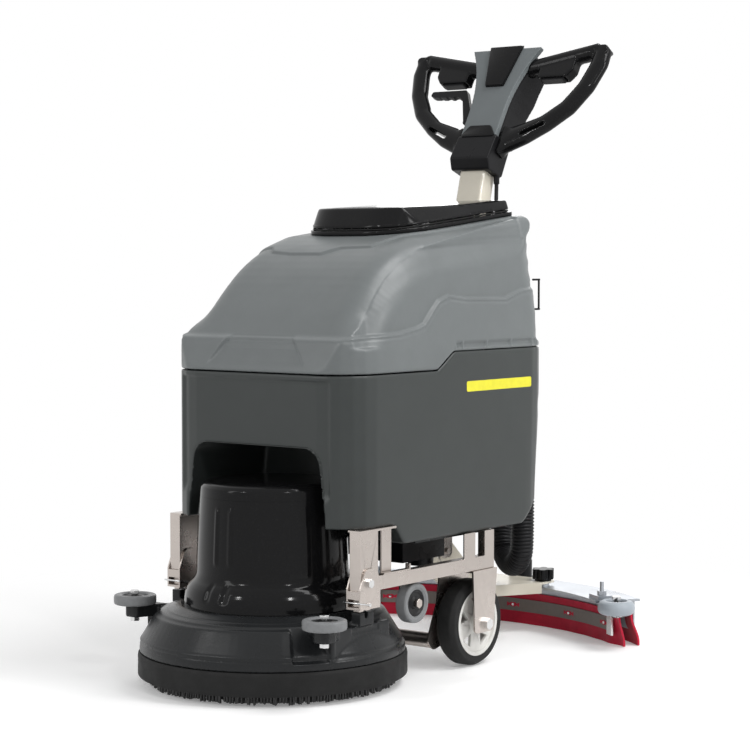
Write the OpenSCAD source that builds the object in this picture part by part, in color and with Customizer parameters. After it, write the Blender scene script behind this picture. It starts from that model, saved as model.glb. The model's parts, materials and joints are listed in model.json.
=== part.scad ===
// Walk-behind battery floor scrubber: two moulded tanks on a steel frame, a sprung round brush
// deck in front, two load wheels, a lifting squeegee behind and a mast with a loop handlebar.
// The origin is on the floor, under the middle of the brush. +Z is up, -Y is forward.

/* [Tanks] */
// Width across the sides of both tanks
body_w = 430; // [390:5:520]
// Brush centre forward to the front face of the tanks
body_front = 52; // [40:1:80]
// Brush centre back to the rear face of the tanks
body_rear = 582; // [560:2:720]
// Radius of the vertical corners of the tanks
corner_r = 76; // [40:1:90]
// Wall of the solution tank
tank_wall = 6; // [4:0.5:8]
// Wall of the recovery tank
shell_wall = 5; // [4:0.5:8]
// Height of the joint between the tanks, at the front
part_z = 553; // [500:1:670]
// Rise of that joint towards the rear
part_rise = 32; // [10:1:60]
// Height of the underside of the front legs
leg_z = 288; // [280:1:300]
// Height of the underside of the tank behind the legs
floor_z = 252; // [246:1:262]
// Height of the recovery tank from the joint to the highest point of its top
recovery_h = 285; // [240:1:345]
// Gap at the joint between the tanks
part_gap = 0.5; // [0.3:0.1:2]
// Half width of the arch over the motor
arch_w = 157; // [150:1:170]
// Height of the arch roof
arch_z = 425; // [415:1:440]

/* [Lid] */
// Half width of the lid at its front
lid_w_front = 122; // [90:1:130]
// Half width of the lid at its rear
lid_w_rear = 138; // [100:1:150]
// Height of the lid above its seat
lid_h = 40; // [30:1:60]
// Height of the seat ring under the lid
lid_seat_h = 8; // [6:1:14]

/* [Brush deck] */
// Outer radius of the splash skirt
skirt_r = 240; // [225:1:250]
// Radius over the bristles
brush_r = 222; // [180:1:224]
// Length of the bristles
bristle_l = 38; // [25:1:45]
// Height of the top of the deck
deck_top = 142; // [136:1:150]
// Radius of the motor cover at mid height
cover_r = 134; // [110:1:138]
// Height of the top of the motor cover
cover_top = 362; // [340:1:380]
// Travel of the deck on its guide blades
deck_lift = 20; // [10:1:24]
// Radius of the bumper wheels
bumper_r = 38.3; // [25:0.1:45]
// Thickness of the bumper wheels
bumper_t = 18; // [12:1:24]
// Distance of the bumper wheels from the middle plane
bumper_x = 220; // [200:1:240]
// Distance of the bumper wheels ahead of the brush centre
bumper_y = 124; // [110:1:140]

/* [Wheels] */
// Radius of the load wheels
wheel_r = 80; // [64:1:96]
// Radius of the load wheel rims
rim_r = 62; // [48:1:64]
// Width of the load wheels
wheel_w = 42; // [30:1:50]
// Distance of the wheel axle behind the brush centre
axle_y = 342; // [330:1:400]
// Axle radius of the load wheels
axle_r = 8; // [6:0.5:10]
// Radius of the guard rollers
roller_r = 36; // [28:1:42]
// Width of the guard rollers
roller_w = 23; // [16:1:28]

/* [Squeegee] */
// Half of the angle that the squeegee arc covers
squeegee_a = 38; // [30:1:42]
// Radius of the squeegee arc at the front blade
squeegee_r = 520; // [440:1:600]
// Distance of the rearmost front blade behind the brush centre
squeegee_y = 768; // [750:1:800]
// Height of the squeegee blades
blade_h = 66; // [50:1:66]
// Thickness of the rubber blades
blade_t = 4; // [3:0.5:6]

/* [Mast and handle] */
// Width of the mast tube
mast_w = 60; // [40:1:70]
// Depth of the mast tube
mast_d = 40; // [25:1:48]
// Wall of the mast tube
mast_wall = 2.5; // [1.5:0.5:4]
// Lean of the mast from upright
mast_lean = 15; // [8:1:20]
// Length of the mast tube
mast_l = 690; // [660:1:820]
// Lean of the handle head from upright
head_lean = 30; // [20:1:40]
// Half width of the handlebar to the tube's middle
bar_w = 220; // [190:1:260]
// Radius of the handlebar tube
bar_r = 16; // [12:0.5:18]

/* [Fits] */
// Radial clearance of a turning fit
run_fit = 0.05; // [0.02:0.01:0.1]
// Gap between parts that pass each other
air = 0.5; // [0.3:0.1:2]

/* [Hidden] */
$fn = 64;

side_x = body_w / 2;
rear_top_z = part_z + part_rise;
tank_top_z = part_z + recovery_h;

// Steel frame
post_w = 24;
post_d = 50;
post_front = 30;
post_wall = 2.5;
post_x = side_x - 5;
post_bottom = 183;
sheet = 3;
rail_h = 25;
rail_w = 18;
rail_z = max(181, 2 * wheel_r + 21);
rail_x = side_x + 6 - rail_w / 2;
rail_end = axle_y + 30;
rail_top = rail_z + rail_h;
hanger_bottom = 152.5;
hanger_top = rail_top + 16;
step_y = 77;
pin_z = 160;
pin_y = -10;
pin_r = 3;
hanger_bolt_z = rail_top - 9;

// Load wheels and forks
wheel_x = side_x - 8.5 - wheel_w / 2;
fork_sheet = 3.5;
fork_out = side_x + 10;
fork_in = fork_out - 68;
hub_half = (fork_out - fork_in) / 2 - fork_sheet - air;
hub_x = (fork_out + fork_in) / 2;
roller_in = side_x + 2 - roller_w;
roller_axle_r = 6;
roller_y = 139;
roller_z = 143;
tube_y = 264;
tube_z = 52;
tube_r = 14;

// Brush deck
wing_in = 140;
wing_out = post_x + 5;
wing_front = 98;
wing_rear = 62;
wing_top = 124;
blade_w = 12;
blade_d = 32;
boss_top = hanger_bottom - 4.5;
blade_top = 216;
bumper_z = 141;
bumper_bolt_r = 5;
cover_flange = deck_top + 6;
skirt_low = 18.5;
skirt_top = 58.7;
cap_z = cover_top - 27;
gear_h = 62;
shaft_r = 12;
disc_top = bristle_l + 18;
shaft_top = deck_top + 46;
duct_y = body_rear - 56;
hook_top = 712;
hook_x = 172;

// Squeegee
arc_y = squeegee_y - squeegee_r;
sq_plate_z = 84;
sq_plate_t = 5;
plate_a = squeegee_a - 2.8;
sq_front = 42;
sq_rear = 52;
arm_t = 4;
arm_top = 100;
arm_web = 22;
hinge_y = 470;
hinge_z = 186;
hinge_r = 6;
ear_x = 31;
ear_t = 5;
knob_x = 91;
knob_y = squeegee_y - 33;
stud_r = 5;
knob_h = 24;
nozzle_y = arc_y + squeegee_r + 20;
nozzle_top = 129;
flange_low = 26;
end_r = 36;
end_t = 28;
end_pin_r = 5;
end_z = 67;
end_d = squeegee_r - 13;
end_a = plate_a + asin((end_r + 2) / end_d);

// Mast and head
mast_y = body_rear - 122;
mast_z = 290;
channel_gap = 8;
head_y = mast_y + mast_l * sin(mast_lean);
head_z = mast_z + mast_l * cos(mast_lean);
bar_n = 4;
clamp_x = 46;
clamp_top = 32;
relief = [40, head_y - 0.6, head_z - 56.48];
head_low = clamp_top + 0.3;
head_high = 238;
lever_x = 56;
lever_u = 80;
lever_pin_r = 4;
trigger_x = 118;
trigger_u = 180;
trigger_pin_r = 3;
key_u = 150;
key_r = 9;

// Lid
lid_front = 214;
lid_rear = body_rear - 34;
lid_fall = 40;
lid_corner = [lid_front, tank_top_z - 3 - lid_fall];
brow = [-22, part_z + 64];
shoulder = [(lid_front + brow[0]) / 2, tank_top_z - 77];
rear_lean = 23;
rear_foot = rear_top_z + part_gap + 6;
lid_tilt = atan((tank_top_z - 1 - lid_corner[1]) / (body_rear - rear_lean - lid_front));
lid_l = (lid_rear - lid_front) / cos(lid_tilt);
lid_pin_r = 3;
lid_barrel_r = 6;
lid_barrel_x = 70;
mouth_w = 85;
mouth_front = 45;
mouth_rear = lid_l - 60;
gasket_t = 3;
lid_base = lid_seat_h + 0.4 + gasket_t;
lid_rear_h = 19;
lid_skin = 3;
lid_axis_y = lid_l;
lid_axis_z = lid_base + 13.6;

// Route of the vacuum hose, and of the control cable beside the mast
hose_d = 46;
hose_path = [[118, 612, 470], [118, 612, 440], [121, 609, 395], [128, 602, 335], [133, 597, 290],
    [135, 594, 240], [134, 594, 196], [128, 598, 171], [112, 608, 153], [91, 621, 146], [70, 634, 153],
    [54, 644, 171], [48, 648, 196], [44, 656, 222], [37, 675, 244], [26, 704, 254], [14, 740, 244],
    [4, 768, 214], [0, 784, 187], [0, 788, 158], [0, 788, 129]];
cable_d = 8;
cable_path = [[40, 638, 900], [40, 638, 894], [41, 636, 880], [44, 631, 860], [48, 624, 838],
    [52, 616, 812], [56, 608, 785], [59, 602, 755], [60, 600, 720], [60, 599, 690], [60, 599, 650],
    [60, 599, 615], [60, 600, 580], [60, 601, 548], [60, 599, 532], [60, 594, 523], [60, 588, 521],
    [60, 586, 521]];
ramp_front = 205;
ramp_rear = 255;
duct_x = 118;
elbow_y = body_rear + 30;
duct_z = 502;
duct_r = 23;
gland = [60, body_rear + 4, 521];

// Points of a polygon with each corner rounded to the radius given as its third number.
function arc_points(c, r, a, b, n) = [for (i = [0:n]) c + r * [cos(a + (b - a) * i / n),
    sin(a + (b - a) * i / n)]];
function unit(v) = v / norm(v);
function round_corner(p, q, s, r, n) =
    let (u = unit(p - q), v = unit(s - q), half = acos(u * v) / 2, mid = unit(u + v),
        centre = q + mid * r / sin(half), from = q + u * r / tan(half) - centre,
        to = q + v * r / tan(half) - centre, a = atan2(from[1], from[0]), b0 = atan2(to[1], to[0]),
        b = b0 - a > 180 ? b0 - 360 : b0 - a < -180 ? b0 + 360 : b0)
    r < 0.1 ? [q] : arc_points(centre, r, a, b, n);
function rounded(pts, n = 5) = [for (i = [0:len(pts) - 1])
    let (k = len(pts), p = pts[(i + k - 1) % k], q = pts[i], s = pts[(i + 1) % k])
    each round_corner([p[0], p[1]], [q[0], q[1]], [s[0], s[1]], q[2], n)];

// Points of a clockwise outline moved inwards by w, with their corner radii to match.
function inset(pts, w) = [for (i = [0:len(pts) - 1])
    let (k = len(pts), p = pts[(i + k - 1) % k], q = pts[i], s = pts[(i + 1) % k],
        u = unit([q[0] - p[0], q[1] - p[1]]), v = unit([s[0] - q[0], s[1] - q[1]]),
        m = [u[1], -u[0]], n = [v[1], -v[0]], shift = (m + n) * w / (1 + m * n),
        convex = u[0] * v[1] < u[1] * v[0])
    [q[0] + shift[0], q[1] + shift[1], q[2] == 0 ? 0 : max(0.2, convex ? q[2] - w : q[2] + w)]];

// Places a copy on each side of the middle plane.
module both() {
    children();
    mirror([1, 0, 0]) children();
}

// Extrudes a side view drawn as (y, z), from x = from to x = to.
module side_view(from, to) {
    translate([from, 0, 0]) rotate([90, 0, 90]) linear_extrude(to - from) children();
}

// Extrudes a front view drawn as (x, z), from y = from to y = to.
module front_view(from, to) {
    translate([0, to, 0]) rotate([90, 0, 0]) linear_extrude(to - from) children();
}

module box(from, to) {
    translate(from) cube(to - from);
}

module rod(from, to, r) {
    d = to - from;
    translate(from) rotate([0, acos(d[2] / norm(d)), atan2(d[1], d[0])]) cylinder(r = r, h = norm(d));
}

// Sweeps a round section of n sides along a route.
module sweep(path, r, n) {
    last = len(path) - 1;
    function along(i) = unit(path[min(i + 1, last)] - path[max(i - 1, 0)]);
    function side(i) = unit(cross(along(i), [0.3, 1, 0.1]));
    pts = [for (i = [0:last]) for (k = [0:n - 1])
        let (t = along(i), s = side(i), w = cross(t, s)) path[i] + r * (cos(360 * k / n) * s
            + sin(360 * k / n) * w)];
    walls = [for (i = [0:last - 1]) for (k = [0:n - 1]) [i * n + k, i * n + (k + 1) % n,
        (i + 1) * n + (k + 1) % n, (i + 1) * n + k]];
    polyhedron(pts, concat([[for (k = [0:n - 1]) n - 1 - k]], [for (w = walls) [w[0], w[1], w[2]]],
        [for (w = walls) [w[0], w[2], w[3]]], [[for (k = [0:n - 1]) last * n + k]]), 4);
}

// Frame of the mast: the middle of its lower end, with Z along the tube.
module on_mast() {
    translate([0, mast_y, mast_z]) rotate([-mast_lean, 0, 0]) children();
}

// Frame of the head: the middle of the mast's upper end, -Y out of the fascia.
module on_head() {
    translate([0, head_y, head_z]) rotate([-head_lean, 0, 0]) children();
}

// Plan of the tanks, inset by w from the outside.
module tank_plan(w) {
    x = side_x - w;
    r = corner_r - w;
    polygon(rounded([[-x, -body_front + w, r], [x, -body_front + w, r], [x, body_rear - w, r],
        [-x, body_rear - w, r]]));
}

// Slot in the rear of both tanks for the mast, grown by w.
module mast_channel(w) {
    on_mast() box([-mast_w / 2 - channel_gap - w, -mast_d / 2 - channel_gap - w, -200],
        [mast_w / 2 + channel_gap + w, 400, mast_l + 200]);
}

// Front view of the arch over the brush motor, grown by w.
module arch(w) {
    front_view(-body_front - 10, cover_r + 16 + w) polygon(rounded([
        [-arch_w - w, leg_z - 60, 0], [arch_w + w, leg_z - 60, 0], [arch_w + w, leg_z + 20, 0],
        [arch_w - 14 + w, arch_z + w, 34], [-arch_w + 14 - w, arch_z + w, 34],
        [-arch_w - w, leg_z + 20, 0]]));
}

module solution_side(w) {
    polygon(rounded(inset([[-body_front, leg_z, 6], [-body_front, part_z, 0], [ramp_front, part_z, 0],
        [ramp_rear, rear_top_z, 0], [body_rear, rear_top_z, 0], [body_rear - 36, floor_z + 50, 16],
        [body_rear - 105, floor_z, 20],
        [step_y + 28, floor_z, 8], [step_y, leg_z, 4]], w)));
}

module solution_tank() {
    color([0.29, 0.31, 0.31]) difference() {
        intersection() {
            translate([0, 0, floor_z - 5]) linear_extrude(rear_top_z) tank_plan(0);
            side_view(-side_x, side_x) solution_side(0);
        }
        difference() {
            intersection() {
                translate([0, 0, floor_z - 5]) linear_extrude(rear_top_z) tank_plan(tank_wall);
                side_view(-side_x, side_x) union() {
                    solution_side(tank_wall);
                    translate([0, tank_wall + 2]) intersection() {
                        solution_side(tank_wall);
                        translate([-body_front, part_z - 60]) square([body_front + body_rear, 100]);
                    }
                }
            }
            arch(tank_wall);
            mast_channel(tank_wall);
        }
        arch(0);
        mast_channel(0);
        rod([duct_x, duct_y + 20, duct_z], [duct_x, duct_y + 80, duct_z], duct_r + 0.2);
        rod([gland[0], body_rear - 20, gland[2]], [gland[0], body_rear + 10, gland[2]], cable_d + 0.2);
    }
}

module frame_posts() {
    color([0.82, 0.77, 0.74]) both() {
        difference() {
            box([post_x - post_w / 2, -post_front, post_bottom],
                [post_x + post_w / 2, post_d - post_front, leg_z - 4]);
            box([post_x - post_w / 2 + post_wall, post_wall - post_front, post_bottom - 1],
                [post_x + post_w / 2 - post_wall, post_d - post_front - post_wall, leg_z - 3]);
            translate([post_x + post_w / 2 - 4, pin_y, hanger_bolt_z]) rotate([0, 90, 0])
                cylinder(r = 5, h = 10);
        }
        box([post_x - post_w / 2 - 3, -post_front, leg_z - 4], [post_x + post_w / 2, step_y - 4, leg_z]);
        box([rail_x - 6, 45, rail_top], [rail_x - 2, step_y - 4, leg_z - 4]);
    }
}

module post_hangers() {
    inner = post_w / 2 + 0.3;
    color([0.84, 0.78, 0.74]) both() translate([post_x, 0, 0]) difference() {
        union() {
            for (s = [-1, 1]) side_view(s > 0 ? inner : -inner - sheet, s > 0 ? inner + sheet : -inner)
                polygon(rounded([[-post_front - 4, hanger_bottom, 0], [21, hanger_bottom, 0],
                    [21, rail_top - 10, 6], [13, hanger_top, 14], [-19, hanger_top, 14],
                    [-post_front - 4, rail_z + 7, 6]]));
            box([-inner - sheet, -post_front - 4, hanger_bottom + 18],
                [inner + sheet, -post_front - 1, hanger_bottom + 32]);
            box([-inner - sheet, -post_front - 4, hanger_bottom],
                [inner + sheet, -post_front - 1, hanger_bottom + 4]);
        }
        translate([-post_w, pin_y, pin_z]) rotate([0, 90, 0]) cylinder(r = pin_r + run_fit, h = 2 * post_w);
        translate([0, pin_y, hanger_bolt_z]) rotate([0, 90, 0]) cylinder(r = 5, h = 2 * post_w);
    }
}

// Hex-headed bolt along +X, with the underside of its head at the origin.
module hex_bolt(r, shank, head_r, head_h) {
    rotate([0, 90, 0]) cylinder(r = head_r, h = head_h, $fn = 6);
    translate([-shank, 0, 0]) rotate([0, 90, 0]) cylinder(r = r, h = shank + 1);
}

module frame_fasteners() {
    inner = post_w / 2 + 0.3;
    color([0.75, 0.73, 0.7]) both() {
        // Hanger bolt, from the outer sheet into the post wall.
        translate([post_x + inner + sheet, pin_y, hanger_bolt_z]) hex_bolt(4.9, sheet + 2.5, 8, 6);
        // Clip pin that carries the deck blade, with its wire bail round the front.
        translate([post_x, 0, 0]) {
            translate([-inner - sheet - 3, pin_y, pin_z]) rotate([0, 90, 0])
                cylinder(r = pin_r, h = 2 * inner + 2 * sheet + 6);
            for (s = [-1, 1]) rod([s * (inner + sheet + 2), pin_y, pin_z],
                [s * (inner + sheet + 2), -post_front - 7, pin_z + 5], 1.6);
            rod([-inner - sheet - 3.5, -post_front - 7, pin_z + 5],
                [inner + sheet + 3.5, -post_front - 7, pin_z + 5], 1.6);
        }
        // Axle bolt of the load wheel, through both fork plates.
        translate([fork_out, axle_y, wheel_r]) {
            rotate([0, 90, 0]) translate([0, 0, -(fork_out - fork_in) - 12])
                cylinder(r = axle_r, h = fork_out - fork_in + 12);
            rotate([0, 90, 0]) cylinder(r = 11, h = 8, $fn = 6);
        }
        translate([fork_in - 10, axle_y, wheel_r]) rotate([0, 90, 0]) difference() {
            cylinder(r = 11, h = 10, $fn = 6);
            translate([0, 0, -1]) cylinder(r = axle_r + 0.2, h = 12);
        }
    }
}

module side_rails() {
    color([0.84, 0.78, 0.75]) both() {
        difference() {
            box([rail_x - rail_w / 2, post_d - post_front, rail_z],
                [rail_x + rail_w / 2, rail_end, rail_top]);
            box([rail_x - rail_w / 2 + 2.5, post_d - post_front - 1, rail_z + 2.5],
                [rail_x + rail_w / 2 - 2.5, rail_end + 1, rail_top - 2.5]);
        }
        // Rear struts, up to the underside of the tank.
        side_view(rail_x + rail_w / 2 - 4, rail_x + rail_w / 2) polygon([[278, rail_top],
            [312, rail_top], [312, floor_z], [278, floor_z]]);
        box([rail_x - rail_w / 2, 308, rail_top], [rail_x + rail_w / 2 - 4, 312, floor_z]);
        box([rail_x - rail_w / 2 + 2, rail_end - 30, rail_top], [rail_x + rail_w / 2, rail_end, floor_z]);
        // Tray lip on the rail behind the front post.
        box([rail_x + 0.5, 36, rail_top], [rail_x + rail_w / 2 + 2, 112, rail_top + 3]);
        box([rail_x + 0.5, 109, rail_top + 3], [rail_x + rail_w / 2 + 2, 112, rail_top + 12]);
        // Drop bracket and stub axle of the guard roller.
        box([roller_in - 6, roller_y - 16, roller_z - 14], [roller_in - 1, roller_y + 16, rail_top - 3]);
        box([roller_in - 1, roller_y - 16, rail_z + 3], [rail_x - rail_w / 2, roller_y + 16, rail_top - 3]);
        translate([roller_in - 2, roller_y, roller_z]) rotate([0, 90, 0])
            cylinder(r = roller_axle_r, h = roller_w + 5);
        translate([roller_in + roller_w + 0.8, roller_y, roller_z]) rotate([0, 90, 0])
            cylinder(r = 9, h = 5, $fn = 6);
    }
}

module wheel_forks() {
    color([0.83, 0.77, 0.73]) {
        both() {
            difference() {
                union() {
                    side_view(fork_out - fork_sheet, fork_out) polygon(rounded([
                        [axle_y - 42, rail_z, 0], [axle_y - 36, wheel_r - 15, 8],
                        [axle_y + 22, wheel_r - 15, 8], [axle_y + 34, rail_z, 0]]));
                    side_view(fork_in, fork_in + fork_sheet) polygon(rounded([
                        [axle_y - 56, rail_z, 0], [axle_y - 66, 120, 6], [tube_y - 18, tube_z, 16],
                        [tube_y, tube_z - 18, 12], [axle_y + 10, wheel_r - 26, 12],
                        [axle_y + 24, wheel_r, 12], [axle_y + 34, 140, 4], [axle_y + 34, rail_z, 0]]));
                }
                translate([fork_in - 1, axle_y, wheel_r]) rotate([0, 90, 0])
                    cylinder(r = axle_r + run_fit, h = fork_out - fork_in + 2);
            }
            box([fork_in, axle_y - 42, rail_z - fork_sheet], [fork_out, axle_y + 34, rail_z]);
        }
        // Cross tube between the inner fork plates.
        translate([-fork_in, tube_y, tube_z]) rotate([0, 90, 0]) cylinder(r = tube_r, h = 2 * fork_in);
    }
}

module frame_plate() {
    inner = rail_x - rail_w / 2;
    color([0.7, 0.68, 0.66]) difference() {
        union() {
            box([-inner, cover_r + 18, floor_z - 5], [inner, rail_end, floor_z]);
            box([-150, rail_end - 1, floor_z - 5], [150, max(hinge_y + 20, mast_y + 30), floor_z]);
            intersection() {
                on_mast() box([-mast_w / 2 - 4, -mast_d / 2 - 4, -60],
                    [mast_w / 2 + 4, mast_d / 2 + 4, 60]);
                box([-100, mast_y - 100, floor_z - 5], [100, mast_y + 100, 600]);
            }
        }
        on_mast() box([-mast_w / 2 - 0.1, -mast_d / 2 - 0.1, 0], [mast_w / 2 + 0.1, mast_d / 2 + 0.1, 200]);
    }
}

module batteries() {
    bay_front = cover_r + 16 + tank_wall + 4;
    bay_rear = mast_y - mast_d / 2 - channel_gap - tank_wall - 22;
    top = floor_z + tank_wall + 215;
    color([0.1, 0.1, 0.11]) both() {
        box([2, bay_front, floor_z + tank_wall], [172, bay_rear, top]);
        for (y = [bay_front + 30, bay_rear - 30]) translate([60, y, top]) cylinder(r = 9, h = 12);
    }
}

module vacuum_motor() {
    color([0.2, 0.2, 0.22]) translate([0, 40, arch_z + tank_wall]) {
        cylinder(r = 66, h = 32);
        translate([0, 0, 32]) cylinder(r = 48, h = 46);
        translate([50, -14, 8]) cube([60, 28, 18]);
    }
}

module mast() {
    color([0.9, 0.87, 0.8]) on_mast() difference() {
        linear_extrude(mast_l) polygon(rounded([[-mast_w / 2, -mast_d / 2, 6], [mast_w / 2, -mast_d / 2, 6],
            [mast_w / 2, mast_d / 2, 6], [-mast_w / 2, mast_d / 2, 6]]));
        translate([0, 0, -1]) linear_extrude(mast_l + 2) square([mast_w - 2 * mast_wall - 2,
            mast_d - 2 * mast_wall - 2], center = true);
    }
}

module clamp_block() {
    color([0.07, 0.07, 0.08]) {
        difference() {
            on_head() side_view(-clamp_x, clamp_x) polygon(rounded([[-34, -24, 6], [-30, clamp_top, 6],
                [26, clamp_top, 6], [30, -34, 6], [-18, -42, 6]]));
            on_mast() translate([0, 0, mast_l / 2]) linear_extrude(mast_l / 2) square([mast_w + 0.2,
                mast_d + 0.2], center = true);
        }
        // Strain relief of the control cable.
        translate(relief) cylinder(r = 6, h = 24);
    }
}

// Half width of the head at height u, for its concave sides.
function head_w(u) = 42 + 42 * pow(max(0, u - 80) / 160, 2.2);

// Outline of the head from height a to height b, drawn in (x, u), inset by w.
module head_outline(a, b, w) {
    steps = [for (i = [0:8]) a + (b - a) * i / 8];
    polygon(concat([for (u = steps) [head_w(u) - w, u]],
        [for (i = [8:-1:0]) [w - head_w(steps[i]), steps[i]]]));
}

// Cross bars of the handlebar, in the head's frame, grown by w.
module cross_bars(w) {
    both() translate([0, -bar_n, 0]) rod([46, 0, 200], [bar_w - 10, 0, 235], bar_r + 1 + w);
}

// Loop of the handlebar on each side, from the clamp block to the end of the cross bar.
module bar_loops() {
    e = clamp_x + 0.3;
    w = bar_w;
    both() translate([0, bar_r - 1 - bar_n, 0]) rotate([90, 0, 0]) linear_extrude(2 * bar_r - 2)
        difference() {
            polygon(rounded([[w - 18, 240, 8], [w + 14, 243, 12], [w + 17, 200, 60], [w + 2, 147, 60],
                [w - 27, 95, 60], [w - 72, 55, 60], [105, 25, 60], [e, -3, 0], [e, 57, 0],
                [122, 82, 40], [w - 61, 112, 40], [w - 35, 153, 40], [w - 22, 203, 20]]));
            polygon(rounded([[92, 32, 3], [89, 41, 3], [138, 65, 3], [146, 58, 3]]));
        }
}

module head_shell() {
    color([0.09, 0.09, 0.1]) on_head() difference() {
        union() {
            intersection() {
                translate([0, 60, 0]) rotate([90, 0, 0]) linear_extrude(80)
                    head_outline(head_low, 222, 1);
                side_view(-100, 100) polygon(rounded([[-16, head_low, 0], [44, head_low, 12],
                    [56, key_u, 24], [40, 222, 12], [-16, 222, 0]]));
            }
            // Lug and pin of the lift lever.
            translate([-lever_x, 15, lever_u]) rotate([90, 0, 0]) {
                cylinder(r = 11, h = 10);
                cylinder(r = lever_pin_r, h = 28);
            }
            box([-lever_x, 5, lever_u - 11], [-38, 15, lever_u + 11]);
        }
        cross_bars(0.15);
        translate([0, 28, key_u]) rotate([-90, 0, 0]) cylinder(r = key_r + run_fit, h = 60);
        box([-30, -17, 60], [30, 24, 190]);
    }
}

module fascia() {
    color([0.42, 0.45, 0.46]) on_head() {
        difference() {
            translate([0, -16, 0]) rotate([90, 0, 0]) linear_extrude(12)
                head_outline(head_low, head_high, 0);
            cross_bars(0.15);
        }
        translate([0, -28, 0]) rotate([90, 0, 0]) linear_extrude(6) polygon([[-22, 146], [22, 146],
            [40, 244], [-40, 244]]);
    }
}

// Trigger housing under a cross bar, open below, with the trigger's pin.
module trigger_housing() {
    difference() {
        translate([0, 13 - bar_n, 0]) rotate([90, 0, 0]) linear_extrude(26) polygon([[86, 172],
            [154, 172], [166, 188], [166, 214], [86, 204]]);
        box([91, -bar_n - 8.5, 160], [150, 8.5 - bar_n, 188]);
    }
    translate([trigger_x, 12 - bar_n, trigger_u]) rotate([90, 0, 0]) cylinder(r = trigger_pin_r, h = 24);
}

module handlebar() {
    color([0.06, 0.06, 0.07]) on_head() {
        cross_bars(0);
        bar_loops();
        both() trigger_housing();
    }
}

module control_cable() {
    color([0.05, 0.05, 0.05]) sweep(cable_path, cable_d / 2, 8);
}

module vacuum_hose() {
    color([0.05, 0.05, 0.06]) sweep(hose_path, hose_d / 2, 12);
}

// Suction elbow and duct in the solution tank, and the gland where the control cable enters it.
module rear_fittings() {
    low = duct_z - 32;
    color([0.08, 0.08, 0.09]) {
        difference() {
            union() {
                translate([duct_x, elbow_y, low]) cylinder(r = duct_r + 5, h = 58);
                rod([duct_x, duct_y, duct_z], [duct_x, elbow_y, duct_z], duct_r);
                translate([duct_x, duct_y, low + 4]) cylinder(r = duct_r + 2, h = rear_top_z - low - 4);
            }
            translate([duct_x, elbow_y, low - 1]) cylinder(r = duct_r - 3, h = 52);
            rod([duct_x, duct_y, duct_z], [duct_x, elbow_y, duct_z], duct_r - 3);
            translate([duct_x, duct_y, low + 10]) cylinder(r = duct_r - 1, h = rear_top_z);
        }
        rod(gland - [0, 17, 0], gland, cable_d);
    }
}

// Solenoid valve, its filter bowl and pump under the frame plate.
module water_valve() {
    color([0.16, 0.14, 0.13]) {
        box([70, 190, 202], [146, 318, floor_z - 5]);
        translate([112, 290, 186]) cylinder(r = 24, h = 30);
        box([-146, 200, 190], [-60, 300, floor_z - 5]);
    }
}

module squeegee_bracket() {
    inside = ear_x + ear_t + air;
    color([0.8, 0.76, 0.72]) {
        box([-inside - ear_t, hinge_y - 18, floor_z - 9], [inside + ear_t, hinge_y + 18, floor_z - 5]);
        both() side_view(inside, inside + ear_t) polygon(rounded([[hinge_y - 18, floor_z - 9, 0],
            [hinge_y - 18, hinge_z - 14, 12], [hinge_y + 18, hinge_z - 14, 12],
            [hinge_y + 18, floor_z - 9, 0]]));
        translate([-inside - ear_t - 6, hinge_y, hinge_z]) rotate([0, 90, 0])
            cylinder(r = hinge_r, h = 2 * (inside + ear_t + 6));
    }
}

// Coil springs over the deck blades, inside the front posts.
module deck_springs() {
    top = leg_z - 4;
    color([0.6, 0.6, 0.62]) both() translate([post_x, post_d / 2 - post_front, blade_top]) difference() {
        cylinder(r = post_w / 2 - post_wall - air, h = top - blade_top);
        translate([0, 0, -1]) cylinder(r = post_w / 2 - post_wall - air - 2.5, h = top);
    }
}

// Side view of the recovery tank, inset by w from the outside.
module recovery_side(w) {
    low = part_z + part_gap;
    turn = acos(unit(shoulder - brow) * unit(lid_corner - shoulder));
    shoulder_r = 0.7 * norm(lid_corner - shoulder) / tan(turn / 2);
    polygon(rounded(inset([[-body_front, low, 0], [-body_front + 16, part_z + 59, 6],
        [brow[0], brow[1], 4], [shoulder[0], shoulder[1], shoulder_r], [lid_corner[0], lid_corner[1], 0],
        [body_rear - rear_lean, tank_top_z - 1, 14], [body_rear, rear_foot, 0],
        [body_rear, rear_top_z + part_gap, 0], [ramp_rear, rear_top_z + part_gap, 0],
        [ramp_front, low, 0]], w), 8));
}

// Front view of the recovery tank, inset by w from the outside.
module recovery_front(w) {
    top = tank_top_z + 4;
    polygon(rounded(inset([[-side_x, part_z - 20, 0], [-side_x, part_z + 40, 30],
        [19 - side_x, top, 64], [side_x - 19, top, 64], [side_x, part_z + 40, 30],
        [side_x, part_z - 20, 0]], w), 8));
}

module recovery_tank() {
    color([0.47, 0.49, 0.49]) difference() {
        intersection() {
            translate([0, 0, part_z - 5]) linear_extrude(recovery_h + 10) tank_plan(0);
            side_view(-side_x, side_x) recovery_side(0);
            front_view(-body_front, body_rear) recovery_front(0);
        }
        difference() {
            intersection() {
                translate([0, 0, part_z - 5]) linear_extrude(recovery_h + 10) tank_plan(shell_wall);
                side_view(-side_x, side_x) recovery_side(shell_wall);
                front_view(-body_front, body_rear) recovery_front(shell_wall);
            }
            mast_channel(shell_wall);
        }
        mast_channel(0);
        on_lid() box([-mouth_w, mouth_front, -30], [mouth_w, mouth_rear, 30]);
        translate([duct_x, duct_y, rear_top_z - 5]) cylinder(r = duct_r - 1, h = 30);
    }
}

// Frame of the lid: the middle of its front edge on the tank's top, +Y along the tank's slope.
module on_lid() {
    translate([0, lid_corner[0], lid_corner[1]]) rotate([lid_tilt, 0, 0]) children();
}

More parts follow.
